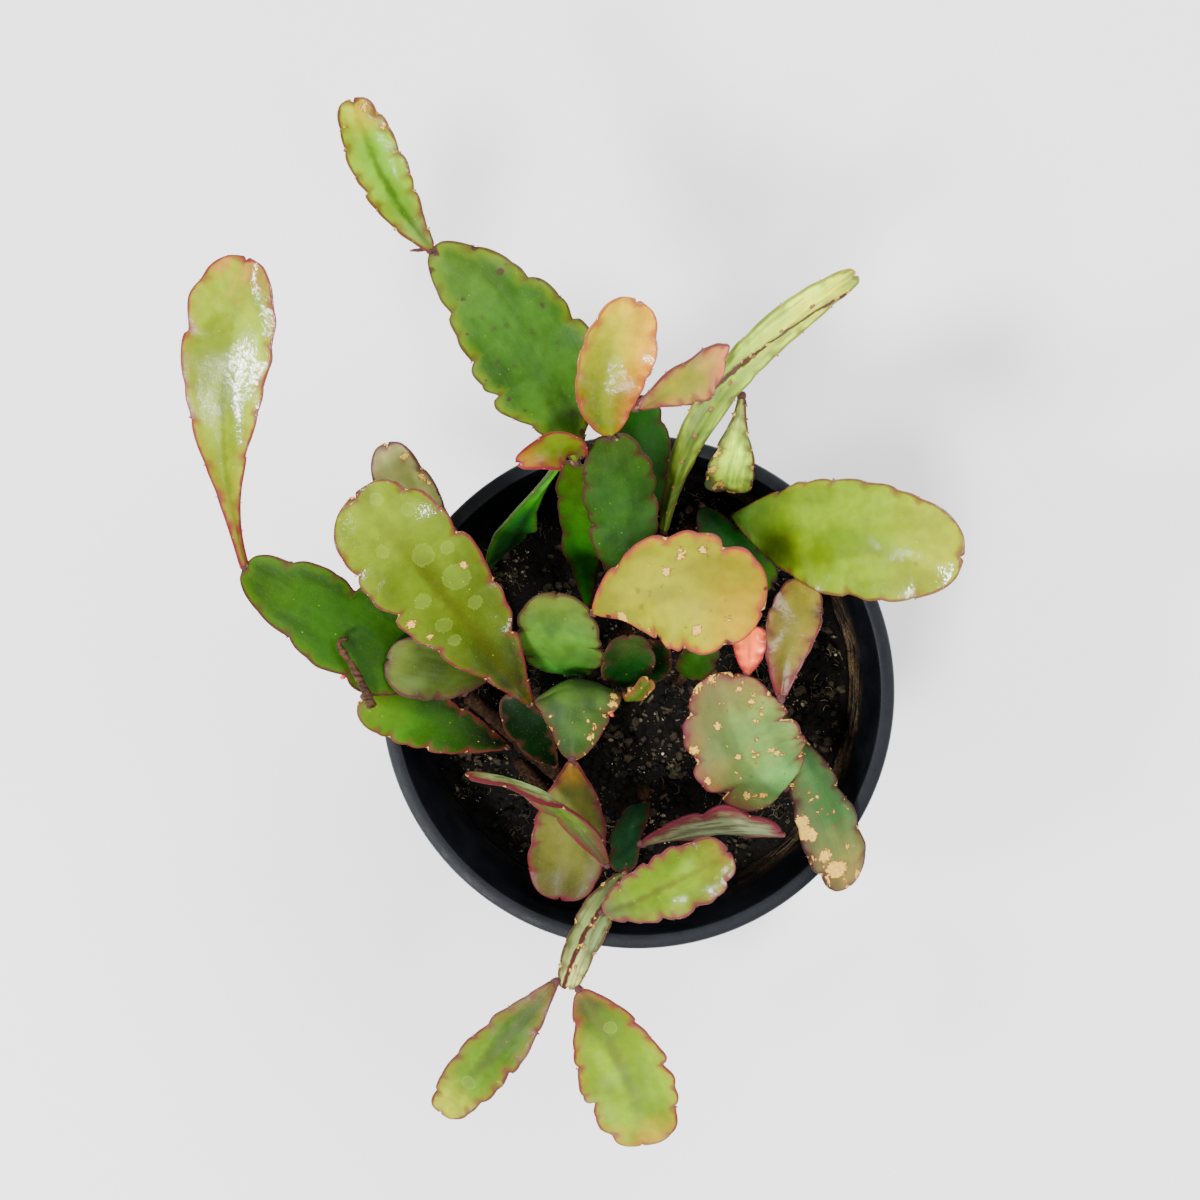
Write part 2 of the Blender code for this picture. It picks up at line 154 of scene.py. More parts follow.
# Camera, in millimetres
LENS = 45.22
SENSOR = 36.0


# Colours

def shade(red, green, blue):
    """Linear colour of a surface shade whose parts run from 0 to 255."""
    linear = []
    for part in (red, green, blue):
        share = part / 255
        linear.append(share / 12.92 if share <= 0.04045 else ((share + 0.055) / 1.055) ** 2.4)
    return (*linear, 1.0)


RED_LINE = shade(81, 18, 37)
PURPLE_LINE = shade(57, 21, 32)
BROWN_LINE = shade(61, 33, 25)
CORK = shade(208, 168, 78)
CORK_RIM = shade(112, 68, 34)
FELT = shade(156, 116, 68)
BRACT = shade(84, 34, 34)
DARK_BRACT = shade(41, 18, 18)
SPECK = shade(151, 192, 41)
# Painted sheen: the grey-green laid on in long patches where the skin would reflect softly
SHEEN_COLOUR = shade(102, 132, 91)
DRIED_DROP = shade(169, 199, 78)


# Materials

class Paint:
    """A material while it is mixed, with its colour so far.

    Values are numbers, colours or sockets. What is worked out from them is a socket.
    """

    def __init__(self, name):
        self.material = bpy.data.materials.new(name)
        self.material.use_nodes = True
        self.tree = self.material.node_tree
        self.shader = self.tree.nodes["Principled BSDF"]
        self.colour = None

    def feed(self, node, inputs):
        """Set or link a node's inputs, which go by name or number."""
        for key, value in inputs.items():
            if isinstance(value, bpy.types.NodeSocket):
                self.tree.links.new(value, node.inputs[key])
            else:
                node.inputs[key].default_value = value

    def node(self, kind, inputs, **settings):
        node = self.tree.nodes.new(kind)
        for name, value in settings.items():
            setattr(node, name, value)
        self.feed(node, inputs)
        return node

    def mix(self, share, under, over, mode="MIX"):
        node = self.node("ShaderNodeMix", {0: share, 6: under, 7: over}, data_type="RGBA",
                         blend_type=mode)
        return node.outputs[2]

    def lay(self, share, over, mode="MIX"):
        """Put a share of one more colour over the colour so far."""
        self.colour = self.mix(share, self.colour, over, mode)

    def ramp(self, value, start, end, low=0.0, high=1.0):
        """Smooth step: low up to start, high past end. Start may be the larger."""
        if start > end:
            start, end, low, high = end, start, high, low
        node = self.node(
            "ShaderNodeMapRange",
            {"Value": value, "From Min": start, "From Max": end, "To Min": low, "To Max": high},
            interpolation_type="SMOOTHSTEP",
        )
        return node.outputs[0]

    def grade(self, value, start, end, low, high):
        """One colour up to start and another past end."""
        return self.mix(self.ramp(value, start, end), low, high)

    def compute(self, operation, first, second=0.0, third=0.0):
        node = self.node("ShaderNodeMath", {0: first, 1: second, 2: third}, operation=operation)
        return node.outputs[0]

    def multiply(self, first, *others):
        for other in others:
            first = self.compute("MULTIPLY", first, other)
        return first

    def add_share(self, value, share, base):
        """The value times the share, added to the base."""
        return self.compute("MULTIPLY_ADD", value, share, base)

    def wavered(self, value, waver, amount):
        """The value, moved up or down by half the amount at most."""
        return self.add_share(self.compute("SUBTRACT", waver, 0.5), amount, value)

    def larger(self, first, second):
        return self.compute("MAXIMUM", first, second)

    def drawn(self, name):
        """A value that is stored on the mesh."""
        return self.node("ShaderNodeAttribute", {}, attribute_name=name).outputs["Fac"]

    def stretched(self, place, sizes):
        return self.node("ShaderNodeMapping", {"Vector": place, "Scale": sizes}).outputs[0]

    def millimetres(self):
        """Object coordinates in millimetres."""
        place = self.node("ShaderNodeTexCoord", {}).outputs["Object"]
        return self.stretched(place, (1 / MM, 1 / MM, 1 / MM))

    def clouds(self, place, scale, detail=3.0, roughness=0.5):
        node = self.node("ShaderNodeTexNoise", {"Vector": place, "Scale": scale,
                                                "Detail": detail, "Roughness": roughness})
        return node.outputs["Fac"]

    def streaks(self, place, scales, detail=3.0, roughness=0.5):
        """Clouds with a scale of their own along each axis."""
        return self.clouds(self.stretched(place, scales), 1.0, detail, roughness)

    def cells(self, place, scale):
        return self.node("ShaderNodeTexVoronoi", {"Vector": place, "Scale": scale}).outputs

    def marks(self, place, spacing, share, radius, ragged):
        """Millimetres to the edge of scattered round marks, below 0 inside them."""
        pool = self.cells(place, 1 / spacing)
        chance = self.node("ShaderNodeSeparateXYZ", {0: pool["Color"]}).outputs
        off_centre = self.add_share(pool["Distance"], spacing, ragged)
        reach = self.ramp(chance[1], 0.0, 1.0, 0.35 * radius, radius)
        past_edge = self.compute("SUBTRACT", off_centre, reach)
        left_out = self.compute("GREATER_THAN", chance[0], share)
        return self.add_share(left_out, FAR_OFF, past_edge)

    def bump(self, height, depth):
        """Relief with a depth in millimetres."""
        node = self.node("ShaderNodeBump", {"Height": height, "Distance": depth * MM})
        return node.outputs[0]

    def finish(self, roughness, height=None, depth=0.1, specular=0.5):
        """Hand the shader its colour, roughness and relief."""
        self.feed(self.shader, {"Base Color": self.colour, "Roughness": roughness,
                                "Specular IOR Level": specular})
        if height:
            self.feed(self.shader, {"Normal": self.bump(height, depth)})
        return self.material


# What a skin is like where its own values say nothing else
PLAIN_SKIN = {
    "band_share": 0.45, "band_width": 3.0,      # coloured band inside the edge, in mm
    "red": 0.9,                                 # share of the thin line on the edge
    "rib_share": 0.5, "rib_width": 2.6,         # midrib, in mm
    # on some pads the one-side flush is painted shade: a near-black side that stands in for shadow
    "flush_side": 0, "flush_share": 0.8,        # side that has its own colour: -1, 1 or none
    "scars": 0.0, "worn": 0.0,                  # cork in patches, and more of it at the tip
    "blobs": 0.0, "blob_size": 1.0,             # scattered round scars
    "spots": 0.0, "drops": 0.0,                 # share of dark spots and of dried drops
    "ridge": None,                              # corky ridge: start mm, end mm, first share
    # haze is the share of grey-green painted on in long patches as a soft reflection
    "wrinkle": 0.0, "haze": 0.0, "mottle": 0.4,
    "gloss": 0.34,                              # lowest roughness
    "coat": 0.0, "shine_side": 0, "shine_edge": 0.0,
    "neck_reach": 0.4, "tip_start": 0.6,        # share along, where neck ends and tip starts
}


class Skin:
    """How one pad looks: colours along it, across it and below, and what marks it."""

    def __init__(self, body, neck=None, tip=None, dark=None, band=None, line=RED_LINE, rib=None,
                 under=None, flush=None, **looks):
        self.body = shade(*body)
        self.neck = shade(*(neck or body))
        self.tip = shade(*(tip or body))
        self.dark = shade(*(dark or [part * 0.7 for part in body]))
        self.band = shade(*(band or body))
        self.line = line
        self.rib = shade(*rib) if rib else None
        self.under = shade(*(under or [part * 0.8 + 22 for part in body]))
        self.flush = shade(*(flush or body))
        for name, value in PLAIN_SKIN.items():
            setattr(self, name, looks.pop(name, value))
        if looks:
            raise ValueError(f"a skin has no {', '.join(looks)}")


class SkinPaint(Paint):
    """Waxy skin of one pad, drawn in millimetres along and across it."""

    def __init__(self, pad, skin):
        super().__init__(pad.name)
        self.pad = pad
        self.skin = skin
        self.along = self.drawn("along")
        self.run = self.drawn("run")
        self.reach = self.drawn("reach")
        self.edge = self.drawn("edge")
        self.notch = self.drawn("notch")
        self.upper = self.drawn("upper")
        layer = self.add_share(self.upper, SIDES_APART, pad.seed * PADS_APART)
        self.place = self.node("ShaderNodeCombineXYZ",
                               {0: self.run, 1: self.reach, 2: layer}).outputs[0]
        self.broad = self.clouds(self.place, 0.11, 2.0)
        self.medium = self.clouds(self.place, 0.42)
        self.fine = self.clouds(self.place, 1.9, 4.0, 0.6)
        self.lengthwise = self.streaks(self.place, (0.1, 0.9, 1.0), 3.0, 0.6)
        self.slow = self.add_share(self.medium, 1.6, -0.8)
        self.ragged = self.wavered(self.slow, self.fine, 1.6)
        self.off_edge = self.wavered(self.edge, self.medium, 3.0)
        self.height = self.add_share(self.medium, 0.5, self.multiply(self.fine, 0.25))
        self.rough = self.ramp(self.medium, 0.25, 0.8, skin.gloss, skin.gloss + 0.16)

    def placed_marks(self, chosen, ragged):
        """Millimetres to the edge of the nearest of a pad's own marks, below 0 inside them.

        Each mark is its share along the pad, its place across it and its radius.
        """
        spot = self.node("ShaderNodeCombineXYZ", {0: self.run, 1: self.reach}).outputs[0]
        nearest = None
        for along, across, radius in chosen:
            centre = (along * self.pad.length, across, 0.0)
            off_centre = self.node("ShaderNodeVectorMath", {0: spot, 1: centre},
                                   operation="DISTANCE").outputs["Value"]
            past_edge = self.compute("SUBTRACT", off_centre, radius)
            nearest = self.compute("MINIMUM", nearest, past_edge) if nearest else past_edge
        return self.compute("ADD", nearest, ragged)

    def paint_blade(self):
        """Colours from neck to tip, with a flush on one side, which on some pads is painted shade,
        and soft blotches.
        """
        skin = self.skin
        self.colour = self.grade(self.along, 0.02, skin.neck_reach, skin.neck, skin.body)
        wander = self.wavered(self.along, self.broad, 0.5)
        self.lay(self.ramp(wander, skin.tip_start, 1.02), skin.tip)
        if skin.flush_side:
            toward = self.add_share(self.medium, 3.0, self.multiply(self.reach, skin.flush_side))
            half = self.pad.width / 2
            share = self.ramp(toward, 1.5 - 0.15 * half, 1.5 + 0.95 * half, 0.0, skin.flush_share)
            self.lay(share, skin.flush)
        self.lay(self.ramp(self.broad, 0.42, 0.64, 0.0, skin.mottle), skin.dark)
        self.lay(1.0, self.ramp(self.medium, 0.25, 0.75, 0.9, 1.1), "MULTIPLY")
        soft = self.ramp(self.streaks(self.place, (0.05, 0.12, 1.0), 1.0), 0.35, 0.65)
        self.lay(1.0, self.ramp(soft, 0.0, 1.0, 0.8, 1.18), "MULTIPLY")

    def paint_rib(self):
        """Midrib, which fades toward the tip."""
        skin = self.skin
        off_rib = self.add_share(self.medium, 1.5, self.compute("ABSOLUTE", self.reach))
        rib = self.ramp(off_rib, skin.rib_width + 0.75, 0.8, 0.0, skin.rib_share)
        self.lay(self.multiply(rib, self.ramp(self.along, 0.98, 0.5, 0.25, 1.0)), skin.rib)

    def paint_margin(self):
        """Soft band inside the edge, and a thin line on it that widens at the notches."""
        skin = self.skin
        self.band = self.ramp(self.off_edge, 1.4 * skin.band_width, 0.3, 0.0, skin.band_share)
        self.lay(self.band, skin.band)
        near = self.wavered(self.notch, self.medium, 2.0)
        near_notch = self.ramp(near, 3.0, 0.9, 0.0, 0.75 * skin.red)
        thin = self.wavered(self.edge, self.medium, 0.9)
        self.outline = self.ramp(thin, 1.05, 0.45, 0.0, skin.red)
        self.lay(self.larger(near_notch, self.outline), skin.line)

    def paint_specks(self):
        """Pale pores and specks of dust."""
        pores = self.ramp(self.cells(self.place, 1.5)["Distance"], 0.22, 0.08, 0.0, 0.1)
        dust = self.ramp(self.marks(self.place, 2.1, 0.4, 0.2, 0.0), 0.08, -0.06, 0.0, 0.4)
        self.lay(self.larger(pores, dust), SPECK)

    def paint_wrinkles(self):
        wrinkle = self.skin.wrinkle
        # Dark lengthwise streaks: partly the skin's own streaked tone, partly painted shade in its
        # grooves, laid with their relief.
        self.height = self.add_share(self.lengthwise, 2.5 * wrinkle, self.height)
        self.lay(self.ramp(self.lengthwise, 0.44, 0.62, 0.0, 0.6 * wrinkle), self.skin.dark)

    def paint_haze(self):
        """Painted sheen: grey-green laid on in long patches, standing in for a soft reflection on
        the skin.
        """
        patches = self.compute("ADD", self.broad, self.lengthwise)
        self.lay(self.ramp(patches, 0.9, 1.25, 0.0, self.skin.haze), SHEEN_COLOUR)

    def paint_ridge(self):
        """Corky ridge that runs slanting along the blade."""
        start, end, first = self.skin.ridge
        off_ridge = self.add_share(self.along, start - end, self.reach)
        off_ridge = self.add_share(self.slow, 0.9, off_ridge)
        off_ridge = self.compute("ABSOLUTE", self.compute("SUBTRACT", off_ridge, start))
        ridge = self.multiply(self.ramp(off_ridge, 0.6, 0.25),
                              self.ramp(self.along, first, first + 0.06))
        self.lay(ridge, self.grade(self.medium, 0.58, 0.64, self.skin.line, CORK))
        self.height = self.add_share(ridge, 3.0, self.height)

    def paint_drops(self, chosen):
        """Rings of dried water drops, which are duller than the skin."""
        if chosen:
            ring = self.placed_marks(chosen, self.multiply(self.ragged, 1.3))
        else:
            ring = self.marks(self.place, 6.5, self.skin.drops, 2.0, self.slow)
        inside = self.ramp(ring, 0.15, -0.1, 0.0, 0.08)
        rim = self.ramp(self.compute("ABSOLUTE", ring), 0.32, 0.05, 0.0, 0.15)
        drop = self.larger(inside, rim)
        self.lay(drop, DRIED_DROP)
        self.rough = self.add_share(drop, 0.4, self.rough)

    def paint_spots(self):
        """Dark spots, most of them near the edge."""
        spot = self.marks(self.place, 3.4, self.skin.spots, 0.75, self.ragged)
        near_edge = self.ramp(self.edge, 9.0, 1.0, 0.35, 0.85)
        self.lay(self.multiply(self.ramp(spot, 0.25, -0.2), near_edge), PURPLE_LINE)

    def paint_scars(self, chosen):
        """Cork in patches, in the notches, in scattered spots and in known places."""
        skin = self.skin
        patch = self.streaks(self.place, (0.22, 0.42, 1.0), 4.0, 0.62)
        patch = self.compute("ADD", patch, self.ramp(self.along, 0.6, 1.0, 0.0, 0.14 * skin.worn))
        patch = self.compute("ADD", patch, self.ramp(self.edge, 3.0, 0.5, 0.0, 0.1 * skin.scars))
        cut = 0.78 - 0.17 * skin.scars
        rim = self.ramp(patch, cut - 0.02, cut, 0.0, 0.8)
        core = self.ramp(patch, cut, cut + 0.015)
        torn = self.wavered(self.notch, self.fine, 1.6)
        in_notch = self.ramp(torn, 0.5 + 0.6 * skin.scars, 0.3 + 0.5 * skin.scars)
        core = self.larger(core, in_notch)
        if skin.blobs:
            size = skin.blob_size
            blob = self.marks(self.stretched(self.place, (0.75, 1.0, 1.0)), 3.6 * size,
                              skin.blobs, size, self.multiply(self.ragged, 0.5 + 0.6 * size))
            rim = self.larger(rim, self.ramp(blob, 0.3, 0.05, 0.0, 0.8))
            core = self.larger(core, self.ramp(blob, 0.05, -0.08))
        if chosen:
            scar = self.placed_marks(chosen, self.add_share(self.ragged, 2.0, 0.2))
            rim = self.larger(rim, self.ramp(scar, 0.4, 0.05, 0.0, 0.85))
            core = self.larger(core, self.ramp(scar, 0.05, -0.1))
        self.lay(rim, CORK_RIM)
        self.lay(core, self.mix(self.ramp(self.fine, 0.4, 0.7, 0.0, 0.45), CORK, CORK_RIM))
        self.rough = self.larger(self.rough, self.multiply(core, 0.85))
        self.height = self.add_share(core, 2.0, self.height)

    def paint_underside(self):
        """Streaked underside, with the same margin."""
        skin = self.skin
        streaked = self.ramp(self.lengthwise, 0.4, 0.62, 0.0, 0.75)
        below = self.mix(streaked, skin.under, skin.dark)
        below = self.mix(self.band, below, skin.band)
        below = self.mix(self.outline, below, skin.line)
        self.colour = self.mix(self.upper, below, self.colour)

    def wax(self):
        """Glossy coat, which lies in patches and less thick away from its side or edge."""
        skin = self.skin
        patchy = self.ramp(self.clouds(self.place, 0.6, 5.0, 0.7), 0.44, 0.54, 0.03, skin.coat)
        by_edge = self.ramp(self.off_edge, 8.0, 4.0, 1 - skin.shine_edge, 1.0)
        weight = self.multiply(patchy, by_edge)
        if skin.shine_side:
            toward = self.multiply(self.reach, skin.shine_side)
            weight = self.multiply(weight, self.ramp(toward, -1.0, 3.0, 0.08, 1.0))
        waves = self.clouds(self.place, 1 / WAX_LENGTH, 3.0, 0.6)
        self.feed(self.shader, {"Coat Weight": weight, "Coat Normal": self.bump(waves, WAX_DEPTH)})


def skin_finish(pad, skin):
    """The finish of one pad, laid on from the flesh colour out."""
    scars = SCAR_MARKS.get(pad.name)
    drops = DROP_MARKS.get(pad.name)
    paint = SkinPaint(pad, skin)
    paint.paint_blade()
    if skin.rib:
        paint.paint_rib()
    paint.paint_margin()
    paint.paint_specks()
    if skin.wrinkle:
        paint.paint_wrinkles()
    if skin.haze:
        paint.paint_haze()
    if skin.ridge:
        paint.paint_ridge()
    if skin.drops or drops:
        paint.paint_drops(drops)
    if skin.spots:
        paint.paint_spots()
    if skin.scars or skin.blobs or scars:
        paint.paint_scars(scars)
    paint.paint_underside()
    if skin.coat:
        paint.wax()
    paint.feed(paint.shader, {
        "Coat Roughness": 0.09,
        "Subsurface Weight": 0.12,
        "Subsurface Radius": (0.6, 1.0, 0.25),
        "Subsurface Scale": 0.0016,
    })
    return paint.finish(paint.rough, paint.height, SKIN_RELIEF, SKIN_SPECULAR)


# Pads

class Pad:
    """One flat stem joint. Its midline is a quadratic curve from base to tip.

    looks is the way its upper face looks, arch bows the midline that way, sway bows it to
    its right, cup lifts both edges, twist turns it in degrees from base to tip, keel raises
    a third wing on its midline, and broad says how far along it is widest.
    """

    def __init__(self, name, base, tip, looks, width, lobes, arch=3.0, sway=0.0, cup=1.5,
                 twist=0.0, keel=0.0, broad=0.62, rise=1.05, pointed=2.6, taper=0.5,
                 depth=0.12, thick=2.6, ripple=0.7, notch=1.0):
        self.name = name
        self.base = Vector(base)
        self.tip = Vector(tip)
        self.looks = Vector(looks).normalized()
        self.width = width
        self.lobes = lobes
        self.cup = cup
        self.twist = radians(twist)
        self.keel = keel
        self.broad = broad
        self.rise = rise
        self.pointed = pointed
        self.taper = taper
        self.depth = depth
        self.thick = thick
        self.ripple = ripple
        self.notch = notch
        chord = self.tip - self.base
        across = chord.cross(self.looks).normalized()
        face = across.cross(chord).normalized()
        self.bend = (self.base + self.tip) / 2 + 2 * arch * face + 2 * sway * across
        places = [self.middle(step / 20) for step in range(21)]
        self.length = sum((b - a).length for a, b in zip(places, places[1:]))
        self.seed = sum(ord(letter) * (place + 3) for place, letter in enumerate(name)) % 97

    def middle(self, along):
        start = self.base.lerp(self.bend, along)
        return start.lerp(self.bend.lerp(self.tip, along), along)

    def axes(self, along):
        """Directions along the pad, to its right and out of its upper face."""
        heading = (self.bend - self.base).lerp(self.tip - self.bend, along).normalized()
        right = heading.cross(self.looks).normalized()
        right = Matrix.Rotation(self.twist * (along - 0.5), 3, heading) @ right
        return heading, right, right.cross(heading)

    def fullness(self, along):
        """Share of the full width, before the lobes: narrow base, broad rounded tip."""
        if along < self.broad:
            return sin(pi / 2 * along / self.broad) ** self.rise
        rest = (along - self.broad) / (1 - self.broad)
        return max(1 - rest ** self.pointed, 0) ** self.taper

    def turns(self, along, side):
        """Lobes passed since the base. Those of the two sides alternate."""
        return self.lobes * along + (0.5 if side > 0 else 0.0)

    def phase(self, along, side):
        return self.turns(along, side) % 1.0

    def tooth_place(self, lobe, side):
        """Where on a lobe its own small notch lies."""
        return 0.48 + 0.14 * sin(lobe * 1.9 + self.seed * 2.0 + side)

    def half_width(self, along, side):
        """Half width on one side, where round lobes meet in sharp notches."""
        phase = self.phase(along, side)
        lobe = int(self.turns(along, side))
        uneven = NOTCH_SHARE + NOTCH_SPREAD * sin(lobe * 2.4 + self.seed + side)
        tooth = 1 - self.depth * uneven * (1 - sin(pi * phase ** LOBE_LEAN)) ** 2
        full = self.fullness(along)
        spot = Vector((along * self.length / EDGE_LENGTH, 3.0 * side, self.seed * 3.0))
        wander = EDGE_WANDER * (noise.noise(spot) - 0.35)
        off_tooth = (phase - self.tooth_place(lobe, side)) / TOOTH_REACH
        if off_tooth > 0:
            off_tooth *= TOOTH_LEAN
        depth = TOOTH_DEPTH * min(self.width / BROAD_PAD, 1) * (0.6 + 0.6 * uneven)
        wander -= depth * max(1 - abs(off_tooth), 0) ** TOOTH_POWER
        return NECK + (self.width / 2 - NECK) * full * tooth + wander * full

    def half_thickness(self, along, across):
        middle = self.thick / 2 * (1 - THINNING * along)
        return MARGIN + (middle - MARGIN) * (1 - abs(across)) ** THIN_TO_EDGE

    def closing(self, along):
        """Rounds both ends: from 0 at the pole to 1 past the rounding."""
        near = min(along, 1 - along) * self.length / END_ROUNDING
        return (max(1 - (1 - min(near, 1)) ** 2, 0)) ** 0.5

    def crinkle(self, along, across, width):
        """Uneven swelling of the whole blade, which breaks up its gloss."""
        spot = Vector((along * self.length / CRINKLE_LENGTH, across * width / CRINKLE_WIDTH,
                       self.seed * 0.7))
        slow = noise.noise(spot)
        quick = noise.noise(spot * 2.7)
        depth = CRINKLE * min(self.width / BROAD_PAD, 1)
        return depth * (slow + 0.3 * quick) * self.fullness(along)

    def surface(self, along, across, face=0, closing=1.0, rounding=1.0):
        """Point of the pad: across runs from -1 to 1, face is 1 above, -1 below, 0 between."""
        heading, right, up = self.axes(along)
        full = self.fullness(along)
        width = self.half_width(along, across) * closing
        point = self.middle(along) + right * across * width
        lift = self.cup * full * (across * across - 0.25)
        wave = sin(WAVES_PER_LOBE * pi * self.lobes * along + across)
        lift += self.ripple * full * wave * across ** 3
        dome = sin(pi * self.phase(along, across)) - 0.6
        lift += PLEAT * full * dome * across * across
        if face > 0 and self.keel:
            lift += self.keel * full * max(1 - KEEL_SHARPNESS * abs(across), 0)
        lift += self.crinkle(along, across, width)
        thickness = self.half_thickness(along, across) * closing * rounding
        point = point + up * (lift + face * thickness)
        return point - heading * self.notch * (1 - abs(across)) ** 2 * along ** NOTCH_POWER

    def notches(self, side):
        """How far along each notch of one side lies."""
        shift = 0.5 if side > 0 else 0.0
        places = [(step - shift) / self.lobes for step in range(1, self.lobes + 1)]
        return [place for place in places if 0.06 < place < 0.97]

    def teeth(self, side):
        """How far along each small notch of one side lies."""
        places = []
        for lobe in range(self.lobes + 1):
            turns = lobe + self.tooth_place(lobe, side)
            places.append((turns - self.turns(0, side)) / self.lobes)
        return [place for place in places if 0.12 < place < 0.94]

    def from_notch(self, along, across, teeth):
        """Millimetres along the edge to the nearest notch, where small ones count as farther."""
        phase = self.phase(along, across)
        to_notch = min(phase, 1 - phase) / self.lobes * self.length
        nearest = min((abs(along - place) for place in teeth[1 if across > 0 else -1]),
                      default=1.0)
        return min(to_notch, nearest * self.length + SMALL_NOTCH_OFF)

    def stations(self):
        """Places of the rings along the pad, with close ones at its rounded ends."""
        ends = [0.0, 0.1, 0.35, 0.7, END_ROUNDING]
        near = [end / self.length for end in ends]
        count = LOBE_STATIONS * self.lobes
        regular = [index / count for index in range(1, count)]
        regular = [place for place in regular if near[-1] * 1.2 < place < 1 - near[-1] * 1.2]
        return near + regular + [1 - place for place in reversed(near)]


def seat(parent, along, across, off=SEAT):
    """Place just off an older pad's edge, where a younger pad's neck begins."""
    heading, right, _ = parent.axes(along)
    outward = right * across if abs(across) == 1 else heading
    return parent.surface(along, across) + outward.normalized() * off


def crest(parent, along):
    """Place just above the third wing of an older pad."""
    return parent.surface(along, 0, 1) + parent.axes(along)[2] * SEAT


def section_place(step, width):
    """Share across and rounding for one step of the section, from the margin to the middle."""
    rim = max(1 - MARGIN / width, 0.0)
    if step > MARGIN_RINGS:
        return rim * (QUARTER - step) / (QUARTER - MARGIN_RINGS), 1.0
    share = 1 - INTO_MARGIN[step] * (1 - rim)
    return share, (max(1 - (1 - INTO_MARGIN[step]) ** 2, 0)) ** 0.5


# Meshes

def gather(batches):
    """Join bmeshes that were filled a few shapes at a time, which is quick."""
    bm = bmesh.new()
    for batch in batches:
        mesh = bpy.data.meshes.new("batch")
        batch.to_mesh(mesh)
        batch.free()
        bm.from_mesh(mesh)
        bpy.data.meshes.remove(mesh)
    return bm


def fill_batches(items, rng, add):
    """Add the items, a few to each bmesh, and give back the bmeshes."""
    batches = []
    for start in range(0, len(items), BATCH):
        bm = bmesh.new()
        tone = bm.verts.layers.float.new("tone")
        for item in items[start:start + BATCH]:
            add(bm, tone, item, rng)
        batches.append(bm)
    return batches


def make_object(bm, name):
    """Turn a bmesh in millimetres into an object in metres."""
    bmesh.ops.scale(bm, vec=(MM, MM, MM), verts=bm.verts)
    mesh = bpy.data.meshes.new(name)
    bm.to_mesh(mesh)
    bm.free()
    made = bpy.data.objects.new(name, mesh)
    bpy.context.scene.collection.objects.link(made)
    return made


def settle(bm, name, material, replaced=()):
    """Turn a bmesh into a finished piece of the model."""
    bmesh.ops.recalc_face_normals(bm, faces=bm.faces)
    piece = make_object(bm, name)
    piece.data.shade_smooth()
    piece.data.materials.append(material)
    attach(piece, "root")
    if replaced:
        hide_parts(*replaced)
    return piece


def build_pad(pad, skin):
    """Map a sphere with its poles at base and tip onto the pad's surface."""
    stations = pad.stations()
    last = len(stations) - 1
    bm = bmesh.new()
    bmesh.ops.create_uvsphere(bm, u_segments=SECTION_POINTS, v_segments=last, radius=1)
    names = ("along", "run", "reach", "edge", "notch", "upper")
    layers = {name: bm.verts.layers.float.new(name) for name in names}
    teeth = {side: pad.teeth(side) for side in (-1, 1)}
    for vert in bm.verts:
        height = max(-1.0, min(1.0, vert.co.z))
        girth = hypot(vert.co.x, vert.co.y)
        ring = round(last * (1 - atan2(girth, height) / pi))
        along = stations[ring]
        closing = pad.closing(along)
        if ring in (0, last):
            across, face, rounding = 0.0, 0, 1.0
        else:
            step = round(atan2(abs(vert.co.y), abs(vert.co.x)) / (pi / 2) * QUARTER)
            side = -1 if vert.co.x > 0 else 1
            share, rounding = section_place(step, pad.half_width(along, side) * closing)
            across = side * share
            face = 0 if step == 0 else (1 if vert.co.y > 0 else -1)
        width = pad.half_width(along, across)
        vert.co = pad.surface(along, across, face, closing, rounding)
        off_edge = min((1 - abs(across)) * width, (1 - along) * pad.length)
        values = {
            "along": along,
            "run": along * pad.length,
            "reach": across * width,
            "edge": off_edge,
            "notch": hypot(pad.from_notch(along, across, teeth), off_edge),
            "upper": max(face, 0) if face else 0.5,
        }
        for name, value in values.items():
            vert[layers[name]] = value
    settle(bm, pad.name + "_skin", skin_finish(pad, skin), [pad.name])


# Woody stems

class Stem:
    """A woody stem. One with a foot stands upright in the soil before it leans."""

    def __init__(self, name, foot, path, radius=2.2, end=0.85):
        self.name = name
        self.foot = foot
        self.radius = radius
        self.end = end
        self.path = [Vector(point) for point in path]
        if foot:
            root = Vector((*foot, SOIL_TOP - ROOT_DEPTH))
            collar = Vector((*foot, SOIL_TOP + COLLAR))
            self.path = [root, collar] + self.path

    def radius_at(self, share):
        return self.radius * (1 + (self.end - 1) * share)

    def places(self):
        """Points close together along the path, each with its share of the length."""
        lengths = [(b - a).length for a, b in zip(self.path, self.path[1:])]
        total = sum(lengths)
        found = []
        done = 0.0
        for (a, b), length in zip(zip(self.path, self.path[1:]), lengths):
            steps = max(2, round(length / STEM_STEP))
            for step in range(steps):
                found.append((a.lerp(b, step / steps), (done + length * step / steps) / total))
            done += length
        found.append((self.path[-1], 1.0))
        return found


def smoothed(points, passes):
    """Round the corners of a path, with its ends held."""
    for _ in range(passes):
        inner = [(a + b * 2 + c) / 4 for a, b, c in zip(points, points[1:], points[2:])]
        points = [points[0]] + inner + [points[-1]]
    return points


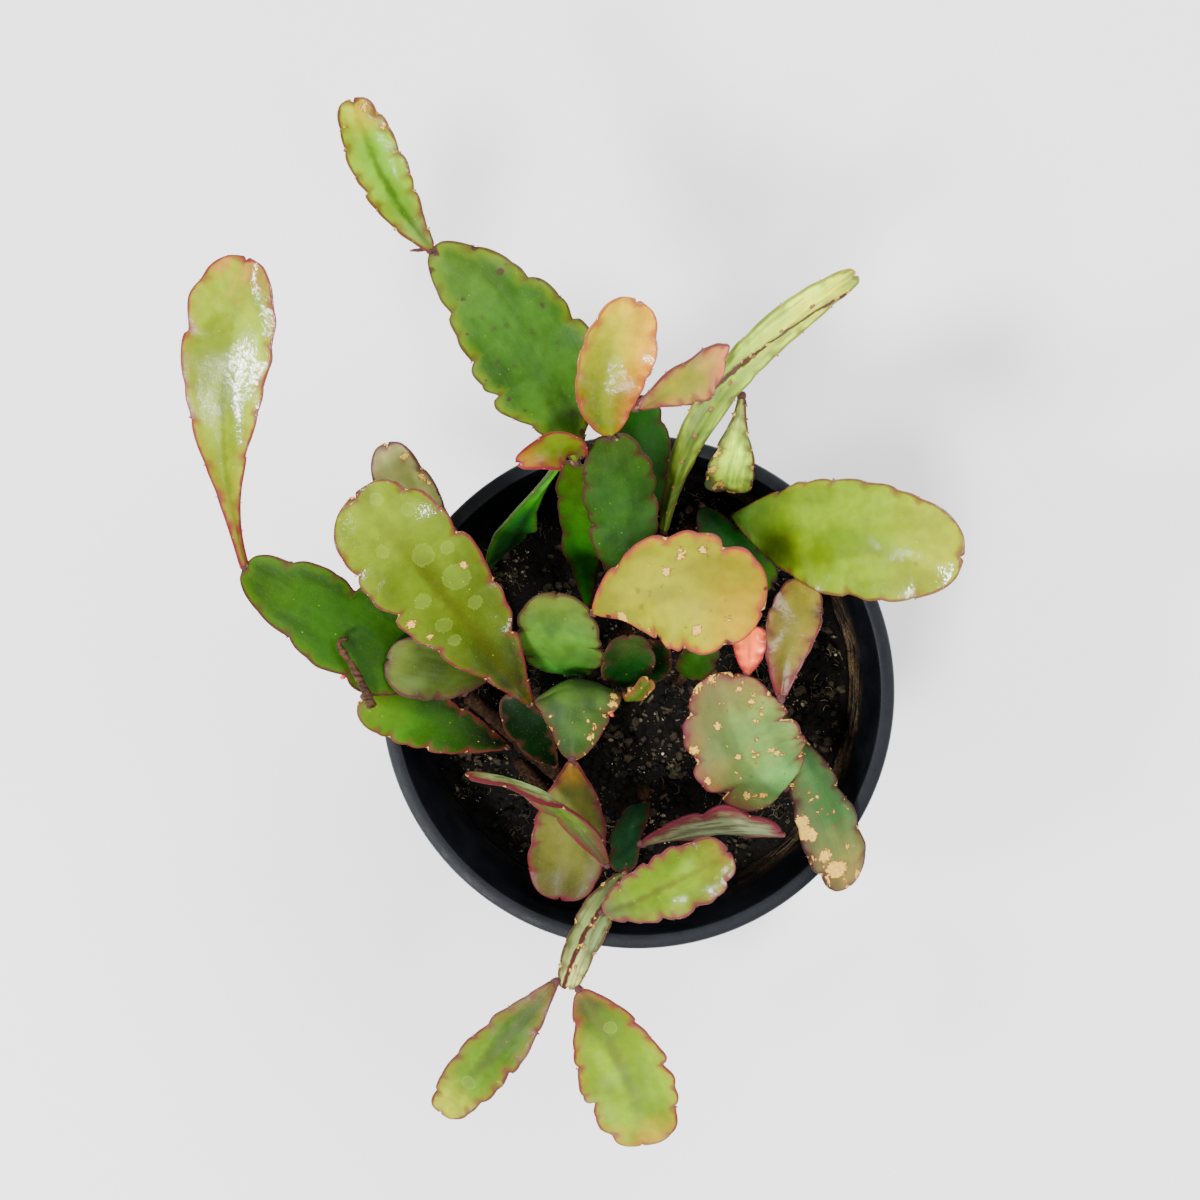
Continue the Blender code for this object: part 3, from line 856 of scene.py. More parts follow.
def add_tube(bm, points, radii, sides, layer=None, value=0.0, gnarl=0.0, seed=0.0):
    """Loft a closed tube through the points, ring by ring."""
    rings = []
    last = len(points) - 1
    for index, (point, radius) in enumerate(zip(points, radii)):
        heading = (points[min(index + 1, last)] - points[max(index - 1, 0)]).normalized()
        turn = heading.to_track_quat("Z", "X").to_matrix().to_4x4()
        made = bmesh.ops.create_circle(bm, segments=sides, radius=radius, cap_ends=False,
                                       matrix=Matrix.Translation(point) @ turn)["verts"]
        for vert in made:
            if gnarl:
                outward = (vert.co - point).normalized()
                spot = Vector((vert.co.x * BARK_ACROSS, vert.co.y * BARK_ACROSS,
                               vert.co.z * BARK_ALONG + seed))
                bump = noise.noise(spot) + 0.5 * noise.noise(spot * 2.9)
                vert.co += outward * gnarl * radius * bump
            if layer:
                vert[layer] = value
        rings.append(made)
    for lower, upper in zip(rings, rings[1:]):
        for index in range(sides):
            after = (index + 1) % sides
            bm.faces.new((lower[index], lower[after], upper[after], upper[index]))
    bm.faces.new(list(reversed(rings[0])))
    bm.faces.new(rings[-1])


# Corky scars and dried drops that lie in known places: share along, mm across, radius in mm

SCAR_MARKS = {
    "pad_yellow": ((0.51, -5.0, 1.3), (0.17, 4.6, 1.9), (0.7, 8.8, 1.8), (0.58, -9.6, 1.4),
                   (0.67, -11.0, 0.7), (0.86, 4.6, 0.7), (0.33, 9.0, 0.8)),
    "pad_fan": ((0.67, -5.6, 1.0), (0.82, 4.7, 0.8), (0.86, 5.3, 0.8), (0.78, 4.4, 0.6),
                (0.91, 1.6, 0.5), (0.95, -5.6, 1.1), (0.9, -9.4, 1.2), (0.56, -12.8, 1.1),
                (0.375, -13.0, 1.0), (0.36, 5.4, 0.9), (0.31, 6.3, 1.0), (0.27, 7.2, 0.7),
                (0.43, -2.9, 0.5), (0.66, 4.8, 0.5), (0.17, -8.0, 0.9), (0.13, -6.6, 0.8),
                (0.1, -5.0, 1.0), (0.71, 6.6, 0.7), (0.76, 6.9, 0.7), (0.5, 3.4, 0.4),
                (0.6, 0.4, 0.4)),
    "pad_over_rim": ((0.66, 6.8, 2.6), (0.6, 7.0, 1.8), (0.875, 2.4, 2.8), (0.79, 4.5, 1.8),
                     (0.96, -3.6, 1.3), (0.52, 3.0, 0.7), (0.59, 2.2, 0.6), (0.8, -2.6, 0.7),
                     (0.42, 5.5, 0.8)),
    "pad_curled": ((0.86, -4.5, 0.9), (0.71, -7.4, 0.7), (0.66, -6.4, 0.6), (0.6, -9.2, 1.1),
                   (0.52, -9.6, 1.2), (0.8, -5.4, 0.6), (0.75, 7.0, 0.6)),
    "pad_bright": ((0.6, 8.8, 0.9), (0.545, -11.2, 1.1), (0.47, -9.4, 0.8)),
    "pad_west_behind": ((0.92, 3.4, 1.1), (0.8, 5.4, 0.9)),
    "pad_hanging": ((0.72, 5.0, 1.3), (0.55, 4.6, 1.2), (0.9, 2.0, 0.9)),
    "pad_top_left": ((0.94, 1.8, 0.8), (0.8, 4.8, 0.7), (0.86, -3.8, 0.6)),
}
DROP_MARKS = {
    "pad_bright": ((0.58, 5.2, 3.3), (0.71, 2.7, 2.6), (0.85, 7.6, 1.6), (0.94, 3.6, 1.5),
                   (0.585, -5.3, 1.8), (0.47, -5.0, 2.0), (0.4, -5.6, 1.5), (0.47, 4.9, 1.5),
                   (0.68, 8.4, 1.7), (0.8, -4.2, 1.6)),
}

# Dried scales at the joints: the pad, which way they point and half their length in mm
BRACTS = (
    ("pad_top_left", (-1.0, -0.1, 0.1), 2.6),
    ("pad_top_left", (-0.8, 0.45, 0.3), 1.5),
    ("pad_hanging", (0.4, -0.9, 0.2), 1.4),
    ("pad_glossy", (-0.6, -0.7, 0.3), 1.6),
    ("pad_coral", (0.6, -0.6, 0.5), 1.3),
)

# Young buds: the pad, its side and which of that side's notches
BUDS = (("pad_round", 1, 2), ("pad_curled", -1, 1), ("pad_west_dark", -1, 1))


# Skins, one for each pad: the record's slot and how the pad looks

SKINS = {
    "pad_north_front": ("green_pad", Skin(
        (39, 73, 22), neck=(20, 50, 20), tip=(36, 58, 5), dark=(23, 56, 21), band=(49, 71, 15),
        line=BROWN_LINE, band_share=0.5, spots=0.1, gloss=0.4, haze=0.04)),
    "pad_coral": ("coral_pad", Skin(
        (147, 151, 5), neck=(68, 87, 5), tip=(208, 164, 5), dark=(145, 148, 5),
        band=(212, 87, 29), line=shade(131, 15, 43), rib=(142, 145, 5), flush=(244, 116, 5),
        band_share=0.12, band_width=2.6, red=0.7, rib_share=0.3, flush_side=1,
        flush_share=0.45, gloss=0.26, coat=0.8, mottle=0.25, neck_reach=0.9, tip_start=0.62)),
    "pad_coral_right": ("olive_pad", Skin(
        (148, 144, 37), neck=(58, 92, 27), tip=(239, 114, 78), dark=(111, 117, 45),
        band=(202, 99, 68), line=shade(97, 27, 44), band_share=0.3, gloss=0.36, coat=0.08,
        haze=0.06, mottle=0.25)),
    "pad_coral_left": ("coral_pad", Skin(
        (89, 114, 5), neck=(79, 82, 34), tip=(159, 105, 5), dark=(79, 107, 5),
        band=(135, 75, 39), line=shade(110, 9, 41), flush=(128, 70, 46), band_share=0.3,
        flush_side=-1, flush_share=0.5, gloss=0.28, coat=0.15)),
    "pad_north_back": ("green_pad", Skin(
        (34, 75, 5), neck=(5, 108, 8), tip=(52, 71, 6), dark=(16, 54, 5), line=BROWN_LINE,
        neck_reach=0.7)),
    "pad_large_dark": ("green_pad", Skin(
        (48, 84, 20), neck=(53, 87, 5), tip=(65, 95, 21), dark=(27, 60, 5), band=(94, 115, 5),
        line=shade(65, 26, 28), band_share=0.75, red=0.8, spots=0.8, gloss=0.4, haze=0.05,
        mottle=0.5)),
    "pad_top_left": ("bright_green_pad", Skin(
        (98, 146, 5), neck=(81, 121, 74), tip=(183, 144, 5), dark=(76, 130, 5),
        band=(153, 143, 5), line=shade(87, 31, 35), rib=(41, 67, 10), flush=(141, 190, 5),
        band_share=0.3, rib_share=0.75, rib_width=1.4, flush_side=-1, gloss=0.3, coat=0.12,
        shine_side=1, tip_start=0.7)),
    # Painted shade: the near-black flush on its flush side stands in for the shade over its face;
    # its bright margin band is partly painted light on the lit outer edge.
    "pad_crescent": ("dark_green_pad", Skin(
        (27, 76, 24), neck=(39, 120, 5), tip=(11, 51, 29), dark=(5, 41, 24), band=(48, 137, 5),
        line=shade(50, 68, 23), flush=(5, 18, 21), flush_side=-1, flush_share=0.95,
        gloss=0.3)),
    "pad_north_shaded": ("dark_green_pad", Skin(
        (33, 73, 23), neck=(21, 51, 20), tip=(28, 88, 8), dark=(25, 58, 23), line=BROWN_LINE,
        gloss=0.42)),
    "pad_winged": ("grey_green_pad", Skin(
        (202, 242, 72), neck=(5, 7, 5), tip=(247, 247, 5), dark=(61, 85, 48),
        line=shade(84, 51, 39), red=0.7, scars=0.15, ridge=(-8.0, 3.4, 0.4), wrinkle=0.8,
        gloss=0.45, haze=0.1, neck_reach=1.0)),
    "pad_hanging": ("grey_green_pad", Skin(
        (208, 247, 44), neck=(247, 247, 118), tip=(105, 76, 74), dark=(72, 109, 49),
        band=(90, 38, 56), line=PURPLE_LINE, flush=(91, 51, 54), band_share=0.6, flush_side=1,
        flush_share=0.45, scars=0.4, worn=0.5, wrinkle=0.8, gloss=0.5, tip_start=0.86)),
    "pad_east_low": ("dark_green_pad", Skin(
        (14, 76, 5), neck=(5, 5, 11), tip=(73, 118, 5), dark=(5, 57, 5), line=PURPLE_LINE,
        wrinkle=0.2, gloss=0.42)),
    "pad_glossy": ("bright_green_pad", Skin(
        (112, 139, 5), neck=(97, 140, 61), tip=(139, 142, 5), dark=(88, 125, 5),
        band=(127, 132, 5), line=shade(96, 29, 39), rib=(84, 127, 5), band_width=2.0, red=0.8,
        rib_share=0.3, spots=0.04, gloss=0.36, coat=1.0, shine_edge=0.7, haze=0.06,
        mottle=0.25)),
    "pad_east_small": ("dark_green_pad", Skin(
        (31, 67, 9), neck=(7, 45, 5), tip=(38, 72, 13), dark=(14, 52, 5), line=BROWN_LINE,
        spots=0.1, gloss=0.4)),
    "pad_over_rim": ("grey_green_pad", Skin(
        (59, 95, 47), neck=(35, 77, 38), tip=(127, 104, 50), dark=(42, 79, 42),
        band=(83, 41, 43), line=PURPLE_LINE, flush=(86, 57, 46), flush_side=1, flush_share=0.5,
        scars=0.5, worn=0.5, blobs=0.1, blob_size=0.4, wrinkle=0.25, gloss=0.4)),
    "pad_fan": ("grey_green_pad", Skin(
        (94, 120, 55), neck=(87, 139, 68), tip=(126, 109, 46), dark=(66, 98, 52),
        band=(104, 43, 46), line=shade(82, 19, 38), flush=(98, 72, 42), band_share=0.5,
        flush_side=-1, flush_share=0.9, scars=0.5, blobs=0.1, blob_size=0.4, spots=0.1,
        gloss=0.42, haze=0.05)),
    "pad_east_stripe": ("olive_pad", Skin(
        (119, 109, 38), neck=(28, 5, 5), tip=(173, 161, 38), dark=(90, 85, 38),
        band=(141, 79, 60), line=shade(92, 26, 43), gloss=0.22, coat=0.5, haze=0.06,
        mottle=0.2)),
    "pad_salmon": ("coral_pad", Skin(
        (235, 99, 46), neck=(132, 28, 40), tip=(247, 123, 45), dark=(206, 57, 30),
        line=shade(120, 19, 38), rib=(123, 16, 32), rib_share=0.4, rib_width=0.6, gloss=0.24,
        coat=0.35)),
    "pad_west_dark": ("dark_green_pad", Skin(
        (35, 72, 5), neck=(31, 66, 5), tip=(44, 70, 5), dark=(18, 52, 5), band=(62, 96, 5),
        line=shade(68, 21, 27), band_share=0.7, band_width=2.6, gloss=0.42, haze=0.04)),
    "pad_west_long": ("bright_green_pad", Skin(
        (115, 133, 5), neck=(62, 60, 23), tip=(167, 106, 46), dark=(100, 120, 5),
        band=(146, 95, 39), line=shade(108, 18, 42), rib=(79, 92, 19), flush=(155, 177, 5),
        band_share=0.3, rib_width=1.0, flush_side=1, flush_share=0.5, gloss=0.2, coat=1.0,
        shine_side=1, neck_reach=0.35, tip_start=0.88)),
    "pad_west_olive": ("olive_pad", Skin(
        (58, 73, 21), neck=(42, 56, 10), tip=(101, 119, 41), dark=(46, 61, 13),
        band=(82, 55, 42), line=shade(69, 28, 39), coat=0.04, haze=0.1)),
    # Painted shade: the near-black neck and the near-black flush on its right side stand in for
    # the shade where it reaches down into the pot.
    "pad_west_low": ("bright_green_pad", Skin(
        (48, 93, 5), neck=(5, 5, 5), tip=(75, 102, 5), dark=(26, 79, 5), band=(79, 103, 5),
        line=shade(93, 27, 35), flush=(5, 18, 5), band_share=0.15, band_width=2.0, red=0.8,
        flush_side=1, flush_share=0.9, scars=0.05, gloss=0.42, mottle=0.15, neck_reach=0.8)),
    "pad_west_behind": ("olive_pad", Skin(
        (117, 127, 63), neck=(82, 96, 50), tip=(149, 146, 80), dark=(91, 100, 56),
        band=(97, 65, 63), line=shade(72, 24, 40), scars=0.1, blobs=0.1, blob_size=0.4,
        gloss=0.38, haze=0.1)),
    "pad_west_hidden": ("dark_green_pad", Skin(
        (5, 28, 5), neck=(5, 10, 5), dark=(5, 7, 5), line=BROWN_LINE, gloss=0.4)),
    "pad_round": ("green_pad", Skin(
        (74, 117, 35), neck=(43, 125, 40), tip=(82, 93, 27), dark=(45, 84, 35),
        band=(80, 94, 33), line=BROWN_LINE, band_share=0.6, spots=0.12, gloss=0.4, haze=0.05)),
    "pad_yellow": ("yellow_pad", Skin(
        (131, 129, 5), neck=(122, 121, 30), tip=(165, 126, 5), dark=(115, 115, 5),
        band=(178, 74, 8), line=shade(117, 44, 51), rib=(121, 115, 5), flush=(115, 115, 5),
        band_share=0.6, band_width=2.0, rib_share=0.3, flush_side=-1, flush_share=0.6,
        scars=0.15, spots=0.3, gloss=0.4, haze=0.05)),
    "pad_curled": ("green_pad", Skin(
        (59, 84, 32), neck=(41, 58, 37), tip=(5, 43, 5), dark=(41, 57, 35), band=(70, 74, 34),
        line=shade(84, 51, 39), scars=0.4, blobs=0.05, blob_size=0.4, gloss=0.42, haze=0.04,
        mottle=0.7)),
    "pad_bright": ("bright_green_pad", Skin(
        (78, 97, 5), neck=(5, 5, 14), tip=(107, 125, 5), dark=(62, 77, 5), band=(106, 98, 5),
        line=shade(90, 23, 34), rib=(55, 56, 5), band_share=0.3, band_width=2.0, rib_share=0.6,
        rib_width=3.2, gloss=0.4, coat=0.5, shine_edge=0.96, mottle=0.3, neck_reach=0.62)),
    "pad_bronze": ("olive_pad", Skin(
        (83, 83, 33), neck=(171, 124, 35), tip=(55, 51, 11), dark=(73, 70, 34),
        band=(83, 51, 39), line=shade(90, 22, 40), gloss=0.3, haze=0.05, mottle=0.25,
        neck_reach=0.25)),
    "pad_chip": ("green_pad", Skin(
        (45, 80, 16), dark=(33, 66, 11), line=CORK_RIM, scars=0.5, blobs=0.3, blob_size=0.5,
        gloss=0.4)),
    "pad_middle": ("dark_green_pad", Skin(
        (10, 48, 8), neck=(5, 29, 5), tip=(49, 59, 24), dark=(5, 32, 5), line=BROWN_LINE,
        gloss=0.4)),
    "pad_middle_shaded": ("dark_green_pad", Skin(
        (5, 35, 5), neck=(5, 18, 5), dark=(5, 21, 5), line=BROWN_LINE, gloss=0.4)),
    "pad_south_foot": ("dark_green_pad", Skin(
        (28, 62, 34), neck=(17, 45, 28), tip=(20, 48, 19), dark=(20, 48, 31), line=BROWN_LINE,
        gloss=0.4)),
    "pad_south_edge": ("grey_green_pad", Skin(
        (117, 134, 80), neck=(70, 80, 48), tip=(247, 247, 132), dark=(52, 62, 35),
        line=shade(70, 29, 29), flush=(79, 86, 23), flush_side=1, flush_share=0.7, scars=0.35,
        ridge=(0.4, 1.2, 0.02), wrinkle=0.8, gloss=0.44)),
    "pad_south_left": ("grey_green_pad", Skin(
        (73, 98, 16), neck=(64, 47, 42), tip=(134, 41, 40), dark=(50, 65, 28),
        band=(88, 20, 28), line=shade(93, 24, 40), under=(139, 168, 102), band_share=0.8,
        scars=0.12, wrinkle=1.0, gloss=0.4, tip_start=0.5)),
    "pad_south_bright": ("bright_green_pad", Skin(
        (97, 123, 5), neck=(64, 79, 49), tip=(102, 95, 22), dark=(68, 96, 5),
        band=(103, 68, 35), line=shade(89, 23, 41), rib=(68, 57, 31), flush=(71, 115, 5),
        band_share=0.5, rib_share=0.6, rib_width=1.6, flush_side=-1, flush_share=0.4,
        drops=0.25, gloss=0.36, coat=0.3, shine_edge=0.9)),
    "pad_south_back": ("grey_green_pad", Skin(
        (80, 93, 52), neck=(52, 43, 37), tip=(95, 41, 43), dark=(56, 47, 34),
        band=(81, 12, 27), line=shade(79, 20, 35), under=(109, 118, 81), band_share=0.9,
        wrinkle=1.0, gloss=0.42)),
    "pad_south_end_left": ("bright_green_pad", Skin(
        (75, 106, 16), neck=(5, 5, 5), tip=(156, 161, 5), dark=(55, 85, 15),
        band=(122, 88, 29), line=shade(84, 29, 39), rib=(60, 64, 35), rib_share=0.6, drops=0.4,
        gloss=0.36, coat=0.05, haze=0.08, neck_reach=0.6)),
    "pad_south_end_right": ("bright_green_pad", Skin(
        (108, 137, 5), neck=(51, 58, 33), tip=(163, 120, 5), dark=(89, 123, 5),
        band=(143, 88, 27), line=shade(99, 25, 38), rib=(78, 84, 35), band_share=0.4,
        rib_share=0.65, drops=0.2, coat=0.05, haze=0.05, tip_start=0.75)),
}


# The plant

def grow_stems():
    return [
        Stem("stem_north_front", (-3, 15), [(-4.3, 24.4, 102)]),
        Stem("stem_north_back", (-13, 14), [(-13.8, 23.4, 92)]),
        Stem("stem_north_low", (-2.5, 37), [(0.5, 41.6, 94)], radius=1.8),
        Stem("stem_north_east", (4, 34), [(7.4, 44, 96.8)]),
        Stem("stem_east_far", (14, 44), [(17.8, 50, 95.8)]),
        Stem("stem_east_near", (12, 2), [(13.3, 3.7, 98.3)], radius=1.8),
        Stem("stem_east_low", (31, 3), [(36.9, -2.8, 101.8)]),
        Stem("stem_centre", (-19.5, 11.5), [(-19.4, 5.2, 98.3)], radius=2.0),
        Stem("stem_curled", (-17, -6.5), [(-18, -1.8, 99.7)], radius=1.8),
        Stem("stem_middle", (-2, -2), [(-3.3, 0.8, 101.6)]),
        Stem("stem_west_old", (-21.8, -25.4), [(-34, -14, 95), (-47, -1.5, 103.5)], radius=2.5),
        Stem("stem_west_stub", (-25.5, -31), [(-34, -20.5, 92)], radius=2.0),
        Stem("stem_west_middle", (-33, 2), [(-40, 4, 107.2)], radius=1.8),
        Stem("stem_west_back", (-38, 21), [(-45.2, 24.7, 101.8)]),
        Stem("stem_south", (2.4, -30.5), [(2.0, -32.5, 90.5)]),
    ]


def grow_north():
    """Shoots on the far side, with the coral young pads on top."""
    front = Pad("pad_north_front", (-4.3, 25, 102.4), (-7.6, 66, 148), (0.1, -0.75, 0.65), 20, 4,
                arch=2, cup=-1.5, sway=1.5)
    coral = Pad("pad_coral", seat(front, 1, 0), (-1.5, 94.5, 172), (0.2, -0.6, 0.75), 19, 3,
                sway=-4, cup=2, depth=0.06, rise=0.75)
    olive = Pad("pad_coral_right", seat(coral, 0.22, 1, 1.1), (21, 85, 146), (0.1, -0.6, 0.8),
                14, 3, sway=-2, cup=2, depth=0.06, rise=1.3, pointed=3)
    folded = Pad("pad_coral_left", seat(front, 0.92, -1, 1.3), (-30.5, 57.6, 158),
                 (-0.2, -0.4, 0.9), 10, 2, sway=4.5, cup=4, depth=0.06, pointed=1.3,
                 taper=0.8, rise=0.9)
    back = Pad("pad_north_back", (-13.8, 24, 92.4), (-16.4, 60.2, 138), (-0.35, -0.65, 0.65),
               12.5, 4, arch=0, depth=0.06)
    large = Pad("pad_large_dark", seat(back, 1, 0), (-50, 107.5, 166), (0.1, -0.3, 1), 31, 5,
                sway=6, broad=0.45, rise=1.4, pointed=1.5, taper=0.65)
    narrow = Pad("pad_top_left", seat(large, 1, 0), (-66, 137.6, 182), (0.3, -0.3, 1), 13, 4,
                 cup=3, sway=-2.5, pointed=2.2)
    crescent = Pad("pad_crescent", seat(back, 0.95, -1, 1.1), (-38, 37, 99), (0.6, -0.6, 0.5),
                   16, 3, sway=7.2, rise=2.1, depth=0.06)
    shaded = Pad("pad_north_shaded", (0.8, 42, 94.5), (-0.5, 77.8, 132), (0.2, -0.6, 0.8), 16, 3)
    winged = Pad("pad_winged", (7.6, 44.4, 97.2), (52.7, 104.6, 152), (-0.1, -0.3, 0.9), 10, 5,
                 keel=5, sway=-10.5, cup=-2, broad=0.6, depth=0.06)
    hanging = Pad("pad_hanging", seat(winged, 0.52, 1, 1.1), (23.6, 54.2, 112), (0, -0.6, 0.8),
                  14, 3, arch=2, depth=0.16, broad=0.78, rise=2.1, pointed=4)
    return [front, coral, olive, folded, back, large, narrow, crescent, shaded, winged, hanging]


def grow_east():
    """Shoots on the right, with the glossy pad and the scarred fan above the soil."""
    parent = Pad("pad_east_low", (18.4, 51, 97.2), (38, 29.2, 104), (0.3, 0.2, 0.9), 15, 3,
                 arch=0, cup=0, rise=0.8, broad=0.45, sway=2.5)
    glossy = Pad("pad_glossy", seat(parent, 0.2, -1, 2.2), (79.2, 35.4, 150), (0, -0.1, 1), 31, 4,
                 arch=9, depth=0.05, cup=-2, rise=1.1, broad=0.6)
    small = Pad("pad_east_small", (13.5, 4.2, 98.8), (19.5, 14.2, 113), (-0.2, -0.4, 0.9), 11, 2)
    over_rim = Pad("pad_over_rim", (37.4, -3.6, 102), (57.4, -53.3, 110), (0.3, -0.1, 0.9), 18, 4,
                   arch=11, cup=-2, broad=0.72, rise=1.3, sway=2)
    fan = Pad("pad_fan", seat(over_rim, 0.42, 1), (24, 6.6, 133), (-0.25, 0, 1), 31.5, 4,
              arch=3.5, depth=0.15, broad=0.45, sway=-4.5, rise=0.35, pointed=2.2)
    stripe = Pad("pad_east_stripe", seat(fan, 0.84, 1, 1.1), (45.6, 29.6, 115), (-0.2, -0.3, 1),
                 14.5, 3, arch=1, depth=0.05, sway=-1.5)
    salmon = Pad("pad_salmon", seat(fan, 0.99, 0.9), (27, 18.5, 141), (0, -0.4, 0.9), 9, 2,
                 depth=0.05, broad=0.8, rise=1.5)
    return [parent, glossy, small, over_rim, fan, stripe, salmon]


def grow_west():
    """Shoots on the left, which reach over the rim."""
    dark = Pad("pad_west_dark", (-47.9, -0.6, 104.2), (-102.4, 33.8, 130), (-0.1, 0.25, 1), 27, 4,
               arch=11, broad=0.5, rise=1.35, pointed=1.5, sway=-1.5, depth=0.17)
    long = Pad("pad_west_long", seat(dark, 1, 0), (-95.5, 108, 156), (0.1, -0.2, 1), 23, 4,
               sway=-5, twist=-30, depth=0.08, broad=0.75, rise=2.4)
    olive = Pad("pad_west_olive", (-40.4, 4.2, 107.6), (-66.5, 9.5, 126), (-0.3, 0, 1), 18, 2,
                depth=0.05)
    low = Pad("pad_west_low", (-36.6, -16, 97.2), (-75, -1.5, 116.5), (-0.2, 0.15, 1), 17, 4,
              arch=2, cup=0, pointed=3)
    behind = Pad("pad_west_behind", (-45.4, 25.2, 102.2), (-65, 65.5, 134), (-0.2, 0, 1), 18, 3,
                 arch=4, pointed=2, sway=-1)
    hidden = Pad("pad_west_hidden", (-23.2, -21.6, 92.5), (-35, 0, 109), (-0.2, 0.1, 1), 12, 2)
    return [dark, long, olive, low, behind, hidden]


def grow_curl(dark):
    """A dried brown strand that grows from the dark west pad's edge and curls over its face."""
    turns = ((0.43, -0.8, 3.4), (0.5, -0.62, 3.2), (0.56, -0.42, 3.2), (0.59, -0.25, 3.6),
             (0.55, -0.15, 5.0))
    path = [seat(dark, 0.38, -1) + Vector((0, -1.8, 0.8))]
    for along, across, lift in turns:
        path.append(dark.surface(along, across, 1) + Vector((0, 0, lift)))
    return Stem("dried_curl", None, path, radius=1.3, end=0.5)


def grow_centre():
    """Pads in the middle of the pot and those that they carry."""
    round_pad = Pad("pad_round", (-19.4, 4.6, 99), (-21.5, 27, 138), (-0.1, -0.65, 0.75), 24, 3,
                    rise=0.5, broad=0.5)
    yellow = Pad("pad_yellow", seat(round_pad, 0.85, 1), (30, 22.1, 150), (0, -0.1, 1), 31, 4,
                 arch=8, cup=-2, sway=-6)
    curled = Pad("pad_curled", (-18, -1.5, 100.4), (-17.7, -17.5, 122), (0, 0.65, 0.75), 25, 3,
                 arch=12, cup=-4, broad=0.42, pointed=1.7, taper=0.7, sway=-1.5)
    bright = Pad("pad_bright", seat(curled, 0.45, 1), (-71, 51, 150), (0, -0.1, 1), 30, 5, arch=5,
                 sway=2, broad=0.68, pointed=3.2, rise=1.2)
    bronze = Pad("pad_bronze", seat(curled, 1, 0), (-21.5, -58, 104), (0, -0.2, 1), 21.5, 3,
                 arch=-3.2, depth=0.05, sway=-1, pointed=3.2)
    chip = Pad("pad_chip", seat(curled, 0.46, -1, 1.1), (2.8, 4.6, 123), (0.2, -0.3, 0.9), 6, 2,
               cup=0, rise=2.7)
    middle = Pad("pad_middle", (-3.4, 1.2, 102), (-3, 16.1, 124), (0.1, -0.6, 0.8), 15, 3)
    shaded = Pad("pad_middle_shaded", (0.8, 1.6, 95), (4.2, 14.5, 112), (0.1, -0.6, 0.8), 13, 2)
    return [round_pad, yellow, curled, bright, bronze, chip, middle, shaded]


def grow_south():
    """The near shoot, which hangs over the rim with a pair of pads at its end."""
    foot = Pad("pad_south_foot", (2, -33.3, 91.4), (-3.4, -47.8, 118), (-0.4, 0.3, 0.8), 11, 2,
               rise=0.4)
    edge = Pad("pad_south_edge", seat(foot, 1, 0.3), (-19, -77.5, 124), (0.05, -0.2, 1), 10, 3,
               arch=1, keel=4, sway=2.5, broad=0.4, rise=0.8)
    west = Pad("pad_south_left", seat(foot, 0.9, 1), (-42.5, -17.5, 156), (-0.5, -0.7, 0.4), 13,
               3, arch=-6, twist=-50, broad=0.4, pointed=1.4, taper=0.8)
    east = Pad("pad_south_bright", crest(edge, 0.34), (22.4, -38, 140), (0, -0.2, 1), 19, 4,
               rise=0.7)
    blade = Pad("pad_south_back", seat(foot, 0.8, -1), (36.3, -34, 136), (-0.1, 0.75, -0.65), 16,
                3, arch=3)
    left = Pad("pad_south_end_left", seat(edge, 0.96, 1), (-54.5, -116.5, 104), (-0.2, -0.1, 1),
               16, 4, broad=0.52, pointed=2.2)
    right = Pad("pad_south_end_right", seat(edge, 0.98, -1), (1.5, -127, 100), (0, -0.2, 1),
                26, 4, sway=-3.5, rise=0.8, broad=0.52, pointed=2.2)
    return [foot, edge, west, east, blade, left, right]


def build_stems(stems, bark):
    """Gnarled bark round every woody stem."""
    for index, stem in enumerate(stems):
        places = stem.places()
        points = smoothed([point for point, _ in places], 4)
        radii = [stem.radius_at(share) for _, share in places]
        radii[-1] *= 0.8
        bm = bmesh.new()
        add_tube(bm, points, radii, STEM_SIDES, gnarl=0.2, seed=index * 9.0)
        settle(bm, stem.name + "_bark", bark, [stem.name])


def build_curl(strand, dried):
    """The dried strand, which swells and shrinks along its length."""
    places = strand.places()
    points = smoothed([point for point, _ in places], 6)
    radii = []
    for _, share in places:
        knot = 1.0 + 0.25 * sin(share * 19.0) * share
        radii.append(strand.radius_at(share) * knot)
    bm = bmesh.new()
    add_tube(bm, points, radii, STRAND_SIDES, gnarl=0.35, seed=3.0)
    settle(bm, "dried_curl_strand", dried, [strand.name])


# Areoles, joints and buds

def add_lump(bm, place, heading, up, sizes, layer, value, rng, uneven=0.16):
    """A small uneven knob, longest along its heading."""
    right = heading.cross(up).normalized()
    lift = right.cross(heading).normalized()
    turn = Matrix((heading, right, lift)).transposed().to_4x4()
    scale = Matrix.Diagonal((*sizes, 1.0))
    made = bmesh.ops.create_icosphere(bm, subdivisions=2 if min(sizes) > 0.9 else 1, radius=1,
                                      matrix=Matrix.Translation(place) @ turn @ scale)["verts"]
    for vert in made:
        vert.co = place + (vert.co - place) * (1 + uneven * rng.uniform(-1, 1))
        vert[layer] = value


def add_areole(bm, pad, along, side, felt, rng, large):
    """Corky felt in a notch, most often under a small pointed scale."""
    heading, right, up = pad.axes(along)
    outward = right * side
    place = pad.surface(along, side) - outward * 0.2
    size = rng.uniform(0.26, 0.4) * large
    add_lump(bm, place, heading, up, (size * 1.3, size, size * 0.8), felt, 1.0, rng)
    if rng.random() < 0.75:
        tip = place + outward * 0.35 - heading * 0.35
        lean = (heading * 0.8 + outward).normalized()
        add_lump(bm, tip, lean, up, (size * 1.1, size * 0.5, size * 0.4), felt, 0.0, rng, 0.1)


